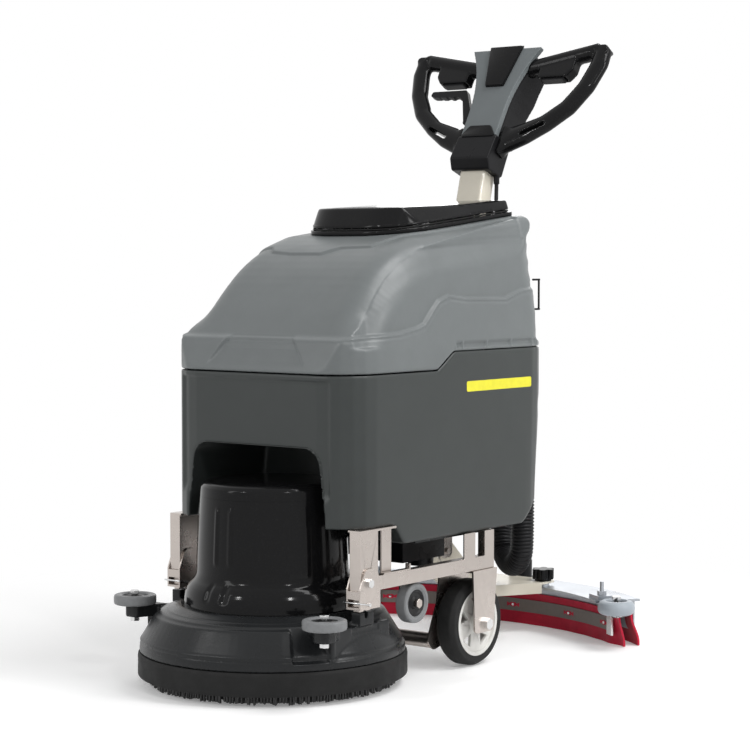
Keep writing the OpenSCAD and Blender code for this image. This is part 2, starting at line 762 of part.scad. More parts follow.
// Outline of the lid, grown by g, in the lid's own plane.
module lid_plan(g) {
    polygon(rounded(inset([[-lid_w_front, 0, 30], [-lid_w_rear, lid_l, 12], [lid_w_rear, lid_l, 12],
        [lid_w_front, 0, 30]], -g)));
}

module lid_mouth() {
    translate([-mouth_w, mouth_front]) square([2 * mouth_w, mouth_rear - mouth_front]);
}

module lid_seat() {
    color([0.05, 0.05, 0.06]) on_lid() {
        translate([0, 0, 0.1]) linear_extrude(lid_seat_h - 0.1) difference() {
            lid_plan(6);
            lid_mouth();
        }
        // Uprights and pins of the lid hinge.
        both() {
            for (x = [lid_barrel_x - 17, lid_barrel_x + 10])
                box([x, lid_axis_y - 5, lid_seat_h - 1], [x + 7, lid_axis_y + 5, lid_axis_z + 5]);
            translate([lid_barrel_x - 17, lid_axis_y, lid_axis_z]) rotate([0, 90, 0])
                cylinder(r = lid_pin_r, h = 34);
        }
    }
}

// Body of the lid, inset by w: its plan below, and a wide bar at the front and the rear above.
module lid_body(w) {
    hull() {
        translate([0, 0, lid_base - w]) linear_extrude(4) lid_plan(-w);
        box([w - lid_w_front + 23, 22 + w, lid_base], [lid_w_front - 23 - w, 26, lid_base + lid_h - 3 - w]);
        box([w - lid_w_rear + 10, lid_l - 6, lid_base],
            [lid_w_rear - 10 - w, lid_l - w, lid_base + lid_rear_h - w]);
    }
}

// Hand grip recess in the front of the lid's top, grown by w.
module lid_grip(w) {
    translate([0, 0, lid_base + lid_h - 16 - w]) linear_extrude(30) polygon(rounded([[-78 - w, 38 - w, 8],
        [78 + w, 38 - w, 8], [86 + w, 60 + w, 10], [-86 - w, 60 + w, 10]]));
}

module tank_lid() {
    color([0.05, 0.05, 0.06]) on_lid() {
        difference() {
            lid_body(0);
            difference() {
                lid_body(lid_skin);
                lid_grip(lid_skin);
            }
            lid_grip(0);
            both() box([lid_barrel_x - 18, lid_l - 8, lid_base - 1], [lid_barrel_x + 18, lid_l + 8, 60]);
        }
        both() translate([lid_barrel_x - 9.5, lid_axis_y, lid_axis_z]) rotate([0, 90, 0])
            difference() {
                union() {
                    cylinder(r = lid_barrel_r, h = 19);
                    translate([-3, -12, 0]) cube([6, 12, 19]);
                }
                translate([0, 0, -1]) cylinder(r = lid_pin_r + run_fit, h = 21);
            }
    }
}

module lid_gasket() {
    color([0.12, 0.12, 0.12]) on_lid() translate([0, 0, lid_base - gasket_t]) linear_extrude(gasket_t)
        difference() {
            lid_plan(-1);
            lid_plan(-7);
            both() translate([lid_barrel_x - 18, lid_l - 9]) square([36, 20]);
        }
}

module inlet_duct() {
    color([0.25, 0.26, 0.26]) translate([duct_x, duct_y, rear_top_z + part_gap + shell_wall])
        difference() {
            cylinder(r = duct_r + 2, h = 165);
            translate([0, 0, -1]) cylinder(r = duct_r - 1, h = 170);
        }
}

module float_cage() {
    cage_r = 24;
    ball_r = 18;
    drop = 72;
    color([0.75, 0.75, 0.72]) on_lid() translate([-82, lid_l - 34, -shell_wall - 0.2]) {
        difference() {
            translate([0, 0, -drop]) cylinder(r = cage_r, h = drop);
            translate([0, 0, 3 - drop]) cylinder(r = cage_r - 2.5, h = drop);
            for (a = [0:60:300]) rotate([0, 0, a]) translate([0, -4, 8 - drop]) cube([30, 8, drop - 24]);
        }
        translate([0, 0, 3.3 - drop + ball_r]) sphere(r = ball_r);
    }
}

// Rear face of the recovery tank at height z.
function rear_y(z) = body_rear - rear_lean * (z - rear_foot) / (tank_top_z - 1 - rear_foot);

// Wire hook for the drain hose, on the rear of the recovery tank.
module hose_hook() {
    x = hook_x;
    out = body_rear + 10;
    low = hook_top - 57;
    color([0.2, 0.2, 0.21]) {
        rod([x, rear_y(hook_top) + 0.4, hook_top], [x, out + 2, hook_top], 2);
        rod([x, rear_y(low) + 0.4, low], [x, out + 2, low], 2);
        rod([x, out, low - 2], [x, out, hook_top + 2], 2);
    }
}

// Dome of the brush deck, as a half outline of radius and height, inset by w.
function dome(w) = [[0, deck_top - w], [166 - w * 0.4, deck_top - w], [200 - w * 0.5, 130 - w],
    [204 - w * 0.9, 123.9 - w * 0.6], [229 - w, 84], [231 - w, 74], [skirt_r - 4 - w, 71],
    [skirt_r - 4 - w, skirt_top]];

module brush_deck() {
    color([0.2, 0.2, 0.21]) {
        difference() {
            union() {
                rotate_extrude($fn = 128) polygon(concat([[0, skirt_top]], dome(0)));
                both() box([wing_in, -wing_front, skirt_top + 6], [wing_out, wing_rear, wing_top]);
                both() box([post_x - 11, -29, wing_top - 1], [post_x + 11, 12, boss_top]);
                // Arms of the bumper wheels.
                both() translate([0, 0, wing_top - 14]) linear_extrude(bumper_z - bumper_t / 2 - air
                    - wing_top + 14) polygon(rounded([[wing_in + 40, -wing_front + 20, 0],
                    [wing_out, -wing_front + 20, 0], [bumper_x + 15, -bumper_y + 12, 8],
                    [bumper_x + 15, -bumper_y - 15, 10], [bumper_x - 15, -bumper_y - 15, 10]]));
                // Raised front fairing.
                intersection() {
                    rotate_extrude($fn = 128) polygon([[200, 128], [210, 124], [234, 84], [235, 72],
                        [220, 72]]);
                    linear_extrude(200) polygon([[0, 0], [-240, -212], [0, -300], [240, -212]]);
                }
            }
            rotate_extrude($fn = 128) polygon(concat([[0, skirt_top - 1]], dome(4),
                [[skirt_r - 8, skirt_top - 1]]));
            translate([0, 0, deck_top - 20]) cylinder(r = 40, h = 40);
            pin_slots();
            both() translate([bumper_x, -bumper_y, wing_top - 20]) cylinder(r = bumper_bolt_r + run_fit,
                h = 40);
        }
    }
}

module splash_skirt() {
    color([0.22, 0.22, 0.23]) rotate_extrude($fn = 128) polygon([[skirt_r, skirt_low],
        [skirt_r, skirt_top - 3], [skirt_r - 3, skirt_top], [skirt_r - 8, skirt_top],
        [skirt_r - 8, skirt_top - 3], [skirt_r - 4, skirt_top - 4], [skirt_r - 4, skirt_low]]);
}

module motor_cover() {
    color([0.03, 0.03, 0.035]) difference() {
        union() {
            rotate_extrude($fn = 96) polygon([[0, deck_top], [cover_r + 24, deck_top],
                [cover_r + 24, cover_flange], [cover_r + 20, cover_flange + 16],
                [cover_r + 8, cover_flange + 42], [cover_r + 3, cover_flange + 52],
                [cover_r, cover_flange + 90], [cover_r - 5, cap_z], [0, cap_z]]);
            for (a = [-130, -50]) rotate([0, 0, a]) translate([cover_r - 4, -4, cover_flange + 60])
                cube([6, 8, 110]);
        }
        translate([0, 0, -0.01]) rotate_extrude($fn = 96) polygon([[0, deck_top],
            [cover_r + 19, deck_top], [cover_r + 16, cover_flange + 14],
            [cover_r + 4, cover_flange + 42], [cover_r - 1, cover_flange + 52],
            [cover_r - 4, cover_flange + 90], [cover_r - 9, cap_z + 1], [0, cap_z + 1]]);
    }
}

module motor_cap() {
    color([0.03, 0.03, 0.035]) rotate_extrude($fn = 96) polygon([[0, cover_top],
        [cover_r - 24, cover_top], [cover_r - 12, cover_top - 5], [cover_r - 6, cover_top - 16],
        [cover_r - 5, cap_z], [cover_r - 9, cap_z], [cover_r - 10, cover_top - 16],
        [cover_r - 15, cover_top - 8], [cover_r - 24, cover_top - 4], [0, cover_top - 4]]);
}

module brush_motor() {
    color([0.35, 0.35, 0.37]) {
        difference() {
            translate([0, 0, deck_top]) cylinder(r = 82, h = gear_h);
            translate([0, 0, deck_top - 1]) cylinder(r = shaft_r + run_fit, h = shaft_top - deck_top + 2);
        }
        translate([0, 0, deck_top + gear_h]) cylinder(r = 62, h = 130);
    }
}

// Slots in which the clip pins pass as the deck rises.
module pin_slots() {
    both() box([post_x - post_w, pin_y - pin_r - 0.3, pin_z - pin_r - 0.3 - deck_lift],
        [post_x + post_w, pin_y + pin_r + 0.3, pin_z + pin_r + 0.3]);
}

module guide_blades() {
    color([0.78, 0.75, 0.72]) difference() {
        both() box([post_x - blade_w / 2, -blade_d / 2 + pin_y, boss_top],
            [post_x + blade_w / 2, blade_d / 2 + pin_y, blade_top - 0.3]);
        pin_slots();
    }
}

module bumper_bolts() {
    color([0.8, 0.8, 0.8]) both() translate([bumper_x, -bumper_y, 0]) {
        translate([0, 0, wing_top - 14]) cylinder(r = bumper_bolt_r, h = bumper_z + bumper_t / 2 + air
            - wing_top + 14);
        translate([0, 0, bumper_z + bumper_t / 2 + air]) cylinder(r = 9, h = 7, $fn = 6);
        translate([0, 0, wing_top - 22]) cylinder(r = 9, h = 8, $fn = 6);
    }
}

module brush_hub() {
    color([0.5, 0.5, 0.52]) {
        cylinder_between(disc_top + 26, shaft_top, shaft_r);
        cylinder_between(disc_top + 12, disc_top + 26, 56);
    }
}

module cylinder_between(a, b, r) {
    translate([0, 0, a]) cylinder(r = r, h = b - a);
}

module brush_disc() {
    color([0.1, 0.1, 0.11]) {
        difference() {
            cylinder_between(bristle_l, disc_top, brush_r - 7);
            cylinder_between(bristle_l - 1, disc_top + 1, 30);
        }
        difference() {
            cylinder_between(disc_top, disc_top + 12, 66);
            cylinder_between(disc_top - 1, disc_top + 13, 30);
        }
    }
}

module bristles() {
    color([0.06, 0.06, 0.06]) rotate_extrude($fn = 96) polygon([[84, bristle_l], [80, 0], [brush_r, 0],
        [brush_r - 8, bristle_l]]);
}

module bumper_wheel(s) {
    z0 = bumper_z - bumper_t / 2;
    color([0.62, 0.62, 0.62]) translate([s * bumper_x, -bumper_y, z0]) {
        rotate_extrude() polygon(rounded([[14, 0, 0], [bumper_r, 0, 4], [bumper_r, bumper_t, 4],
            [14, bumper_t, 0]]));
        difference() {
            cylinder(r = 14, h = bumper_t);
            translate([0, 0, -1]) cylinder(r = bumper_bolt_r + run_fit, h = bumper_t + 2);
        }
    }
}

module bumper_wheel_left() { bumper_wheel(1); }
module bumper_wheel_right() { bumper_wheel(-1); }

module rear_tyre(s) {
    color([0.08, 0.08, 0.08]) translate([s * wheel_x, axle_y, wheel_r]) rotate([0, 90, 0])
        rotate_extrude($fn = 96) polygon(rounded([[rim_r, -wheel_w / 2, 0],
            [wheel_r - 6, -wheel_w / 2, 4], [wheel_r, -wheel_w / 2 + 9, 8],
            [wheel_r, wheel_w / 2 - 9, 8], [wheel_r - 6, wheel_w / 2, 4], [rim_r, wheel_w / 2, 0]]));
}

module rear_tyre_left() { rear_tyre(1); }
module rear_tyre_right() { rear_tyre(-1); }

module rear_rim(s) {
    color([0.9, 0.89, 0.86]) difference() {
        union() {
            translate([s * wheel_x - wheel_w / 2, axle_y, wheel_r]) rotate([0, 90, 0]) difference() {
                cylinder(r = rim_r, h = wheel_w);
                translate([0, 0, -1]) cylinder(r = rim_r - 7, h = wheel_w + 2);
            }
            translate([s * (wheel_x + wheel_w / 2 - 9) - 3, axle_y, wheel_r]) rotate([0, 90, 0])
                difference() {
                    cylinder(r = rim_r - 3, h = 6);
                    for (a = [0:72:288]) rotate([0, 0, a + 36]) translate([0, 0, -1])
                        linear_extrude(8) polygon([[24, 0], [46, -13], [46, 13]]);
                }
            translate([s * hub_x - hub_half, axle_y, wheel_r]) rotate([0, 90, 0])
                cylinder(r = 18, h = 2 * hub_half);
        }
        translate([s * hub_x - hub_half - 1, axle_y, wheel_r]) rotate([0, 90, 0])
            cylinder(r = axle_r + run_fit, h = 2 * hub_half + 2);
    }
}

module rear_rim_left() { rear_rim(1); }
module rear_rim_right() { rear_rim(-1); }

module roller(s) {
    x0 = s > 0 ? roller_in : -roller_in - roller_w;
    color([0.4, 0.4, 0.41]) translate([x0, roller_y, roller_z]) rotate([0, 90, 0]) {
        rotate_extrude() polygon(rounded([[roller_r - 13, 0, 0], [roller_r, 0, 3],
            [roller_r, roller_w, 3], [roller_r - 13, roller_w, 0]]));
        difference() {
            cylinder(r = roller_r - 13, h = roller_w);
            translate([0, 0, -1]) cylinder(r = roller_axle_r + run_fit, h = roller_w + 2);
        }
    }
}

module roller_left() { roller(1); }
module roller_right() { roller(-1); }

module squeegee_arm() {
    neck_y = 592;
    rear_y = knob_y + 22;
    color([0.92, 0.9, 0.85]) difference() {
        union() {
            both() side_view(ear_x, ear_x + ear_t) polygon(rounded([[hinge_y - 15, hinge_z - 15, 13],
                [hinge_y - 15, hinge_z + 15, 13], [hinge_y + 24, hinge_z + 14, 8],
                [neck_y + 12, arm_top, 0], [neck_y + 12, arm_top - arm_web, 0],
                [neck_y - 12, arm_top - arm_web, 4]]));
            translate([0, 0, arm_top - arm_t]) linear_extrude(arm_t) polygon(rounded([
                [-ear_x - ear_t, neck_y, 0], [ear_x + ear_t, neck_y, 0], [knob_x + 16, knob_y - 20, 8],
                [knob_x + 16, rear_y, 8], [-knob_x - 16, rear_y, 8], [-knob_x - 16, knob_y - 20, 8]]));
            both() translate([0, 0, arm_top - arm_web]) linear_extrude(arm_web) polygon([
                [ear_x + ear_t, neck_y], [ear_x + ear_t, neck_y + 8], [knob_x + 10, knob_y - 24],
                [knob_x + 14, knob_y - 26]]);
        }
        both() translate([ear_x - 1, hinge_y, hinge_z]) rotate([0, 90, 0])
            cylinder(r = hinge_r + run_fit, h = ear_t + 2);
        both() translate([knob_x, knob_y, arm_top - arm_t - 1]) cylinder(r = stud_r + 0.4, h = arm_t + 2);
        translate([0, nozzle_y, arm_top - 10]) cylinder(r = hose_d / 2 + 10, h = 20);
    }
}

// Ring sector of the squeegee: from radius a to b, height z0 to z1, within the given angle.
module sector(a, b, z0, z1, angle) {
    far = b / cos(angle) + 10;
    translate([0, arc_y, 0]) intersection() {
        difference() {
            cylinder_between(z0, z1, b, $fn = 128);
            cylinder_between(z0 - 1, z1 + 1, a, $fn = 128);
        }
        translate([0, 0, z0 - 1]) linear_extrude(z1 - z0 + 2) polygon([[0, 0],
            [far * sin(angle), far * cos(angle)], [0, far * 1.4], [-far * sin(angle), far * cos(angle)]]);
    }
}

module squeegee_plate() {
    r = squeegee_r;
    top = sq_plate_z + sq_plate_t;
    color([0.8, 0.81, 0.83]) difference() {
        union() {
            sector(r - sq_front, r + sq_rear, sq_plate_z, top, plate_a);
            sector(r, r + 3, flange_low, sq_plate_z + 1, plate_a - 0.2);
            sector(r + 39, r + 42, flange_low, sq_plate_z + 1, plate_a - 0.2);
            both() translate([knob_x, knob_y, top - 2]) {
                cylinder(r = 12, h = arm_top - arm_t - top + 2);
                translate([0, 0, 1]) cylinder(r = stud_r, h = arm_top - top + knob_h - 3);
            }
            // Height adjusting stud and its raised pad at each end.
            both() translate([0, arc_y, 0]) rotate([0, 0, -squeegee_a + 5]) translate([0, r - 20, top - 1]) {
                translate([-24, -16, 0]) cube([42, 32, 9]);
                cylinder(r = 9, h = 17, $fn = 6);
                cylinder(r = 4, h = 35);
            }
        }
        translate([0, nozzle_y, sq_plate_z - 1]) cylinder(r = hose_d / 2 - 3, h = sq_plate_t + 2);
    }
}

module blade_straps() {
    color([0.45, 0.41, 0.38]) {
        sector(squeegee_r - blade_t - 2.5, squeegee_r - blade_t, flange_low, flange_low + 26,
            squeegee_a - 0.5);
        sector(squeegee_r + 42 + blade_t, squeegee_r + 44.5 + blade_t, flange_low, flange_low + 26,
            squeegee_a - 1.5);
    }
}

module front_blade() {
    color([0.7, 0.05, 0.1]) sector(squeegee_r - blade_t, squeegee_r, 1, blade_h, squeegee_a);
}

module rear_blade() {
    color([0.7, 0.05, 0.1]) sector(squeegee_r + 42, squeegee_r + 42 + blade_t, 0, blade_h,
        squeegee_a - 1);
}

module suction_nozzle() {
    color([0.06, 0.06, 0.07]) translate([0, nozzle_y, sq_plate_z + sq_plate_t]) difference() {
        union() {
            cylinder(r = hose_d / 2 + 4, h = 6);
            cylinder(r = hose_d / 2 + 1, h = nozzle_top - sq_plate_z - sq_plate_t);
        }
        translate([0, 0, -1]) cylinder(r = hose_d / 2 - 3, h = 60);
    }
}

module end_brackets() {
    strap_r = squeegee_r - blade_t - 2.5;
    color([0.8, 0.78, 0.75]) both() translate([0, arc_y, 0]) {
        rotate([0, 0, -squeegee_a + 3.5]) {
            translate([-11, strap_r - 4.2, 20]) cube([22, 4, end_z - air - 20]);
        }
        rotate([0, 0, -end_a]) {
            translate([-66, end_d - 12, end_z - air - 4]) cube([70, 15, 4]);
            translate([0, end_d, end_z - air - 4]) cylinder(r = 12, h = 4);
            translate([0, end_d, end_z - air - 4]) cylinder(r = end_pin_r, h = end_t + 4 + 2 * air);
            translate([0, end_d, end_z + end_t + air]) cylinder(r = 9, h = 7, $fn = 6);
        }
    }
}

module squeegee_knob(s) {
    color([0.04, 0.04, 0.04]) translate([s * knob_x, knob_y, arm_top + air]) difference() {
        union() {
            cylinder(r = 17, h = knob_h);
            for (a = [0:60:300]) rotate([0, 0, a]) translate([17, 0, 4]) cylinder(r = 6.5, h = knob_h - 4);
        }
        translate([0, 0, -1]) cylinder(r = stud_r + run_fit, h = knob_h - 2);
    }
}

module squeegee_knob_left() { squeegee_knob(1); }
module squeegee_knob_right() { squeegee_knob(-1); }

module end_wheel(s) {
    x = s * end_d * sin(end_a);
    color([0.66, 0.7, 0.74]) translate([x, arc_y + end_d * cos(end_a), end_z]) {
        rotate_extrude() polygon(rounded([[18, 0, 0], [end_r, 0, 11], [end_r, end_t, 11], [18, end_t, 0]]));
        difference() {
            cylinder(r = 18, h = end_t);
            translate([0, 0, -1]) cylinder(r = end_pin_r + run_fit, h = end_t + 2);
        }
    }
}

module end_wheel_left() { end_wheel(1); }
module end_wheel_right() { end_wheel(-1); }

module lift_lever() {
    u = lever_u;
    color([0.06, 0.06, 0.07]) on_head() translate([0, 6 - bar_n, 0]) rotate([90, 0, 0]) difference() {
        linear_extrude(12) difference() {
            polygon(rounded([[-lever_x + 9, u - 9, 8], [-lever_x + 9, u + 8, 8], [-76, u + 64, 0],
                [-82, u + 76, 6], [-168, u + 76, 4], [-170, u + 66, 3], [-160, u + 62, 2],
                [-92, u + 58, 3], [-84, u + 50, 0], [-lever_x - 9, u, 8], [-lever_x - 9, u - 9, 8]]));
            for (x = [-104, -124, -144]) translate([x, u + 52]) circle(r = 10);
        }
        translate([-lever_x, u, -1]) cylinder(r = lever_pin_r + run_fit, h = 14);
    }
}

module trigger(s) {
    color([0.06, 0.06, 0.07]) on_head() translate([0, 8 - bar_n, 0]) mirror([s > 0 ? 0 : 1, 0, 0])
        rotate([90, 0, 0]) difference() {
            linear_extrude(16) polygon(rounded([[94, 168, 3], [95, 183, 3], [112, 186, 3],
                [124, 186, 3], [147, 178, 3], [148, 168, 4]]));
            translate([trigger_x, trigger_u, -1]) cylinder(r = trigger_pin_r + run_fit, h = 18);
        }
}

module trigger_left() { trigger(1); }
module trigger_right() { trigger(-1); }

module key_switch() {
    color([0.7, 0.7, 0.7]) on_head() translate([0, 30, key_u]) {
        rotate([-90, 0, 0]) cylinder(r = key_r, h = 30);
        translate([-1.5, 29, -10]) cube([3, 22, 20]);
    }
}

solution_tank();
frame_posts();
post_hangers();
frame_fasteners();
side_rails();
wheel_forks();
frame_plate();
batteries();
vacuum_motor();
mast();
clamp_block();
head_shell();
fascia();
handlebar();
control_cable();
vacuum_hose();
rear_fittings();
water_valve();
squeegee_bracket();
deck_springs();
recovery_tank();
lid_seat();
inlet_duct();
float_cage();
hose_hook();
tank_lid();
lid_gasket();
brush_deck();
splash_skirt();
motor_cover();
motor_cap();
brush_motor();
guide_blades();
bumper_bolts();
brush_hub();
brush_disc();
bristles();
bumper_wheel_left();
bumper_wheel_right();
rear_tyre_left();
rear_rim_left();
rear_tyre_right();
rear_rim_right();
roller_left();
roller_right();
squeegee_arm();
squeegee_plate();
blade_straps();
front_blade();
rear_blade();
suction_nozzle();
end_brackets();
squeegee_knob_left();
squeegee_knob_right();
end_wheel_left();
end_wheel_right();
lift_lever();
trigger_left();
trigger_right();
key_switch();
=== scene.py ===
import json
import math
import random

import bmesh
import bpy
import mathutils.kdtree
from mathutils import Matrix, Vector

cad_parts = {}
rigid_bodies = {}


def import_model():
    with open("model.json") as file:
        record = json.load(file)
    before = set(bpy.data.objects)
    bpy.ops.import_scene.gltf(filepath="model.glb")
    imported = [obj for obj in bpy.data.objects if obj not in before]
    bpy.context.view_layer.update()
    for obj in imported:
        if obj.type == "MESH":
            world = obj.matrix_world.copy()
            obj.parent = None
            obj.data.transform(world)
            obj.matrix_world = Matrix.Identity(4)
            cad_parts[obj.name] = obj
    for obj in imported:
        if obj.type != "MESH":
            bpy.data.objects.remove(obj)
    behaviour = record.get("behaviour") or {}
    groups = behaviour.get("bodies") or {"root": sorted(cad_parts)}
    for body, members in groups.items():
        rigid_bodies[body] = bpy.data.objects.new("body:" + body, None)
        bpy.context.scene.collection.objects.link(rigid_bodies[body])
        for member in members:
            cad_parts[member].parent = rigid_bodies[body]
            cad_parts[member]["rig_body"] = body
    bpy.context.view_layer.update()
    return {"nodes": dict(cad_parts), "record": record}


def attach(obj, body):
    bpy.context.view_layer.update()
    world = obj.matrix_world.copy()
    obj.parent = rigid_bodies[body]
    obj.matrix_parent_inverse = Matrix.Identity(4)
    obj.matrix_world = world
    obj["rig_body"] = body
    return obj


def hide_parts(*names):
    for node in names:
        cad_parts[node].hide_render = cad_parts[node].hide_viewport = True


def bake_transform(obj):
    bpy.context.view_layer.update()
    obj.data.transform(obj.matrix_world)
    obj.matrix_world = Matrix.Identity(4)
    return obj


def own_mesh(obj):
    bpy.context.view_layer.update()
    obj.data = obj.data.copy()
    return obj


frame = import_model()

nodes = frame["nodes"]
MM = 0.001

# ---------------------------------------------------------------- camera

PHOTO_AZIMUTH = math.radians(37.9)
PHOTO_ELEVATION = math.radians(3.13)
CAMERA_PLACE = Vector((2.4431, -2.8422, 0.7512))


def make_camera():
    """A long lens at the height and side that the machine is seen from."""
    data = bpy.data.cameras.new("camera")
    data.lens = 101.57
    data.sensor_width = 36
    camera = bpy.data.objects.new("camera", data)
    camera.location = CAMERA_PLACE
    camera.rotation_euler = (math.pi / 2 - PHOTO_ELEVATION, 0, PHOTO_AZIMUTH)
    bpy.context.scene.collection.objects.link(camera)
    bpy.context.scene.camera = camera


# ---------------------------------------------------------------- materials


class Look:
    """A Principled material and short ways to add nodes to it."""

    def __init__(self, name, colour, rough, metallic=0.0):
        self.material = bpy.data.materials.new(name)
        self.material.use_nodes = True
        self.tree = self.material.node_tree
        self.shader = self.tree.nodes["Principled BSDF"]
        self.colour = colour
        self.shader.inputs["Base Color"].default_value = (*colour, 1)
        self.shader.inputs["Roughness"].default_value = rough
        self.shader.inputs["Metallic"].default_value = metallic
        self.place = self.add("ShaderNodeTexCoord").outputs["Object"]

    def add(self, kind, inputs=None, **settings):
        """A new node, with each input linked to a socket or set to a constant."""
        node = self.tree.nodes.new(kind)
        for key, value in settings.items():
            setattr(node, key, value)
        for key, value in (inputs or {}).items():
            if isinstance(value, bpy.types.NodeSocket):
                self.tree.links.new(value, node.inputs[key])
            else:
                node.inputs[key].default_value = value
        return node

    def noise(self, scale, detail=2.0, stretch=None, rough=0.5):
        """A noise texture's value, fixed to the object's own axes."""
        place = self.place
        if stretch:
            place = self.add("ShaderNodeMapping", {"Vector": place, "Scale": stretch}).outputs[0]
        values = {"Vector": place, "Scale": scale, "Detail": detail, "Roughness": rough}
        return self.add("ShaderNodeTexNoise", values).outputs[0]

    def spread(self, value, low, high, start=0.3, end=0.7):
        """A texture value mapped from start..end to low..high."""
        values = {"Value": value, "From Min": start, "From Max": end, "To Min": low, "To Max": high}
        return self.add("ShaderNodeMapRange", values).outputs[0]

    def tint(self, factor, other):
        """Mixes the base colour so far with another one."""
        socket = self.shader.inputs["Base Color"]
        mix = self.add("ShaderNodeMix", data_type="RGBA")
        self.tree.links.new(factor, mix.inputs[0])
        if socket.links:
            self.tree.links.new(socket.links[0].from_socket, mix.inputs[6])
        else:
            mix.inputs[6].default_value = (*self.colour, 1)
        mix.inputs[7].default_value = (*other, 1)
        self.tree.links.new(mix.outputs[2], socket)

    def rough(self, value):
        """Drives the roughness with a texture value."""
        self.tree.links.new(value, self.shader.inputs["Roughness"])

    def bump(self, height, distance, strength=1.0):
        """Adds a bump on top of those so far."""
        socket = self.shader.inputs["Normal"]
        node = self.add("ShaderNodeBump", {"Height": height, "Distance": distance, "Strength": strength})
        if socket.links:
            self.tree.links.new(socket.links[0].from_socket, node.inputs["Normal"])
        self.tree.links.new(node.outputs[0], socket)

    def worn_edges(self, colour, amount):
        """Lighter along the sharp outer edges."""
        point = self.add("ShaderNodeNewGeometry").outputs["Pointiness"]
        edge = self.spread(point, 0.0, amount, 0.515, 0.60)
        broken = self.spread(self.noise(90, 4), 0.25, 1.0)
        both = self.add("ShaderNodeMath", {0: edge, 1: broken}, operation="MULTIPLY").outputs[0]
        self.tint(both, colour)


def shade(colour, factor):
    """A colour made lighter or darker."""
    return tuple(min(1.0, c * factor) for c in colour)


def moulded(name, colour, rough=0.42, grain=0.00012, grain_size=1100, shine=0.24):
    """Rotomoulded or injected plastic: fine grain, slow colour drift, pale edges."""
    look = Look(name, colour, rough)
    look.shader.inputs["Specular IOR Level"].default_value = shine
    look.tint(look.spread(look.noise(5, 4), 0.0, 1.0), shade(colour, 1.08))
    look.tint(look.spread(look.noise(26, 5, rough=0.65), 0.0, 0.35), shade(colour, 0.86))
    look.worn_edges(shade(colour, 1.45), 0.30)
    look.rough(look.spread(look.noise(18, 4), rough - 0.05, rough + 0.06))
    look.bump(look.noise(grain_size, 2), grain, 0.55)
    look.bump(look.noise(9, 3), 0.0010, 0.10)
    return look.material


def glossy(name, colour, rough=0.09):
    """Polished black plastic with faint sink marks and dust."""
    look = Look(name, colour, rough)
    look.shader.inputs["Specular IOR Level"].default_value = 0.14
    look.tint(look.spread(look.noise(240, 6, rough=0.75), 0.0, 0.03, 0.55, 0.75), (0.30, 0.30, 0.30))
    look.rough(look.spread(look.noise(40, 5, rough=0.7), rough - 0.04, rough + 0.09))
    look.bump(look.noise(14, 2), 0.0012, 0.10)
    look.bump(look.noise(900, 2), 0.00003, 0.3)
    return look.material


def rubber(name, colour, rough=0.62):
    """Moulded rubber: dull, mottled and paler where it is rubbed."""
    look = Look(name, colour, rough)
    look.shader.inputs["Specular IOR Level"].default_value = 0.14
    look.tint(look.spread(look.noise(60, 5, rough=0.7), 0.0, 0.5), shade(colour, 1.5))
    look.rough(look.spread(look.noise(35, 4), rough - 0.08, rough + 0.1))
    look.bump(look.noise(1300, 2), 0.00012, 0.5)
    look.worn_edges(shade(colour, 2.0), 0.25)
    return look.material


def steel(name, colour, rough=0.26, grain=(30, 900, 900)):
    """Stainless sheet or bar with drawn grain, fingermarks and bright edges."""
    look = Look(name, colour, rough, metallic=1.0)
    lines = look.noise(1.0, 3, stretch=grain)
    look.tint(look.spread(look.noise(16, 4, rough=0.5), 0.0, 0.35), shade(colour, 0.80))
    look.tint(look.spread(lines, 0.0, 0.25), shade(colour, 0.85))
    look.rough(look.spread(look.noise(14, 4), rough - 0.06, rough + 0.12))
    look.bump(lines, 0.00004, 0.25)
    look.worn_edges(shade(colour, 1.25), 0.3)
    return look.material


def painted(name, colour, rough=0.32):
    """Powder coat with orange peel."""
    look = Look(name, colour, rough)
    look.shader.inputs["Coat Weight"].default_value = 0.15
    look.tint(look.spread(look.noise(7, 3), 0.0, 0.7), shade(colour, 0.93))
    look.rough(look.spread(look.noise(25, 4), rough - 0.05, rough + 0.08))
    look.bump(look.noise(420, 2), 0.00010, 0.35)
    look.worn_edges(shade(colour, 0.55), 0.25)
    return look.material


def bristle_look():
    """Black nylon with streaks along each tuft."""
    look = Look("bristle", (0.020, 0.020, 0.021), 0.5)
    look.tint(look.spread(look.noise(300, 3, stretch=(1, 1, 0.05)), 0.0, 0.7), (0.06, 0.06, 0.06))
    return look.material


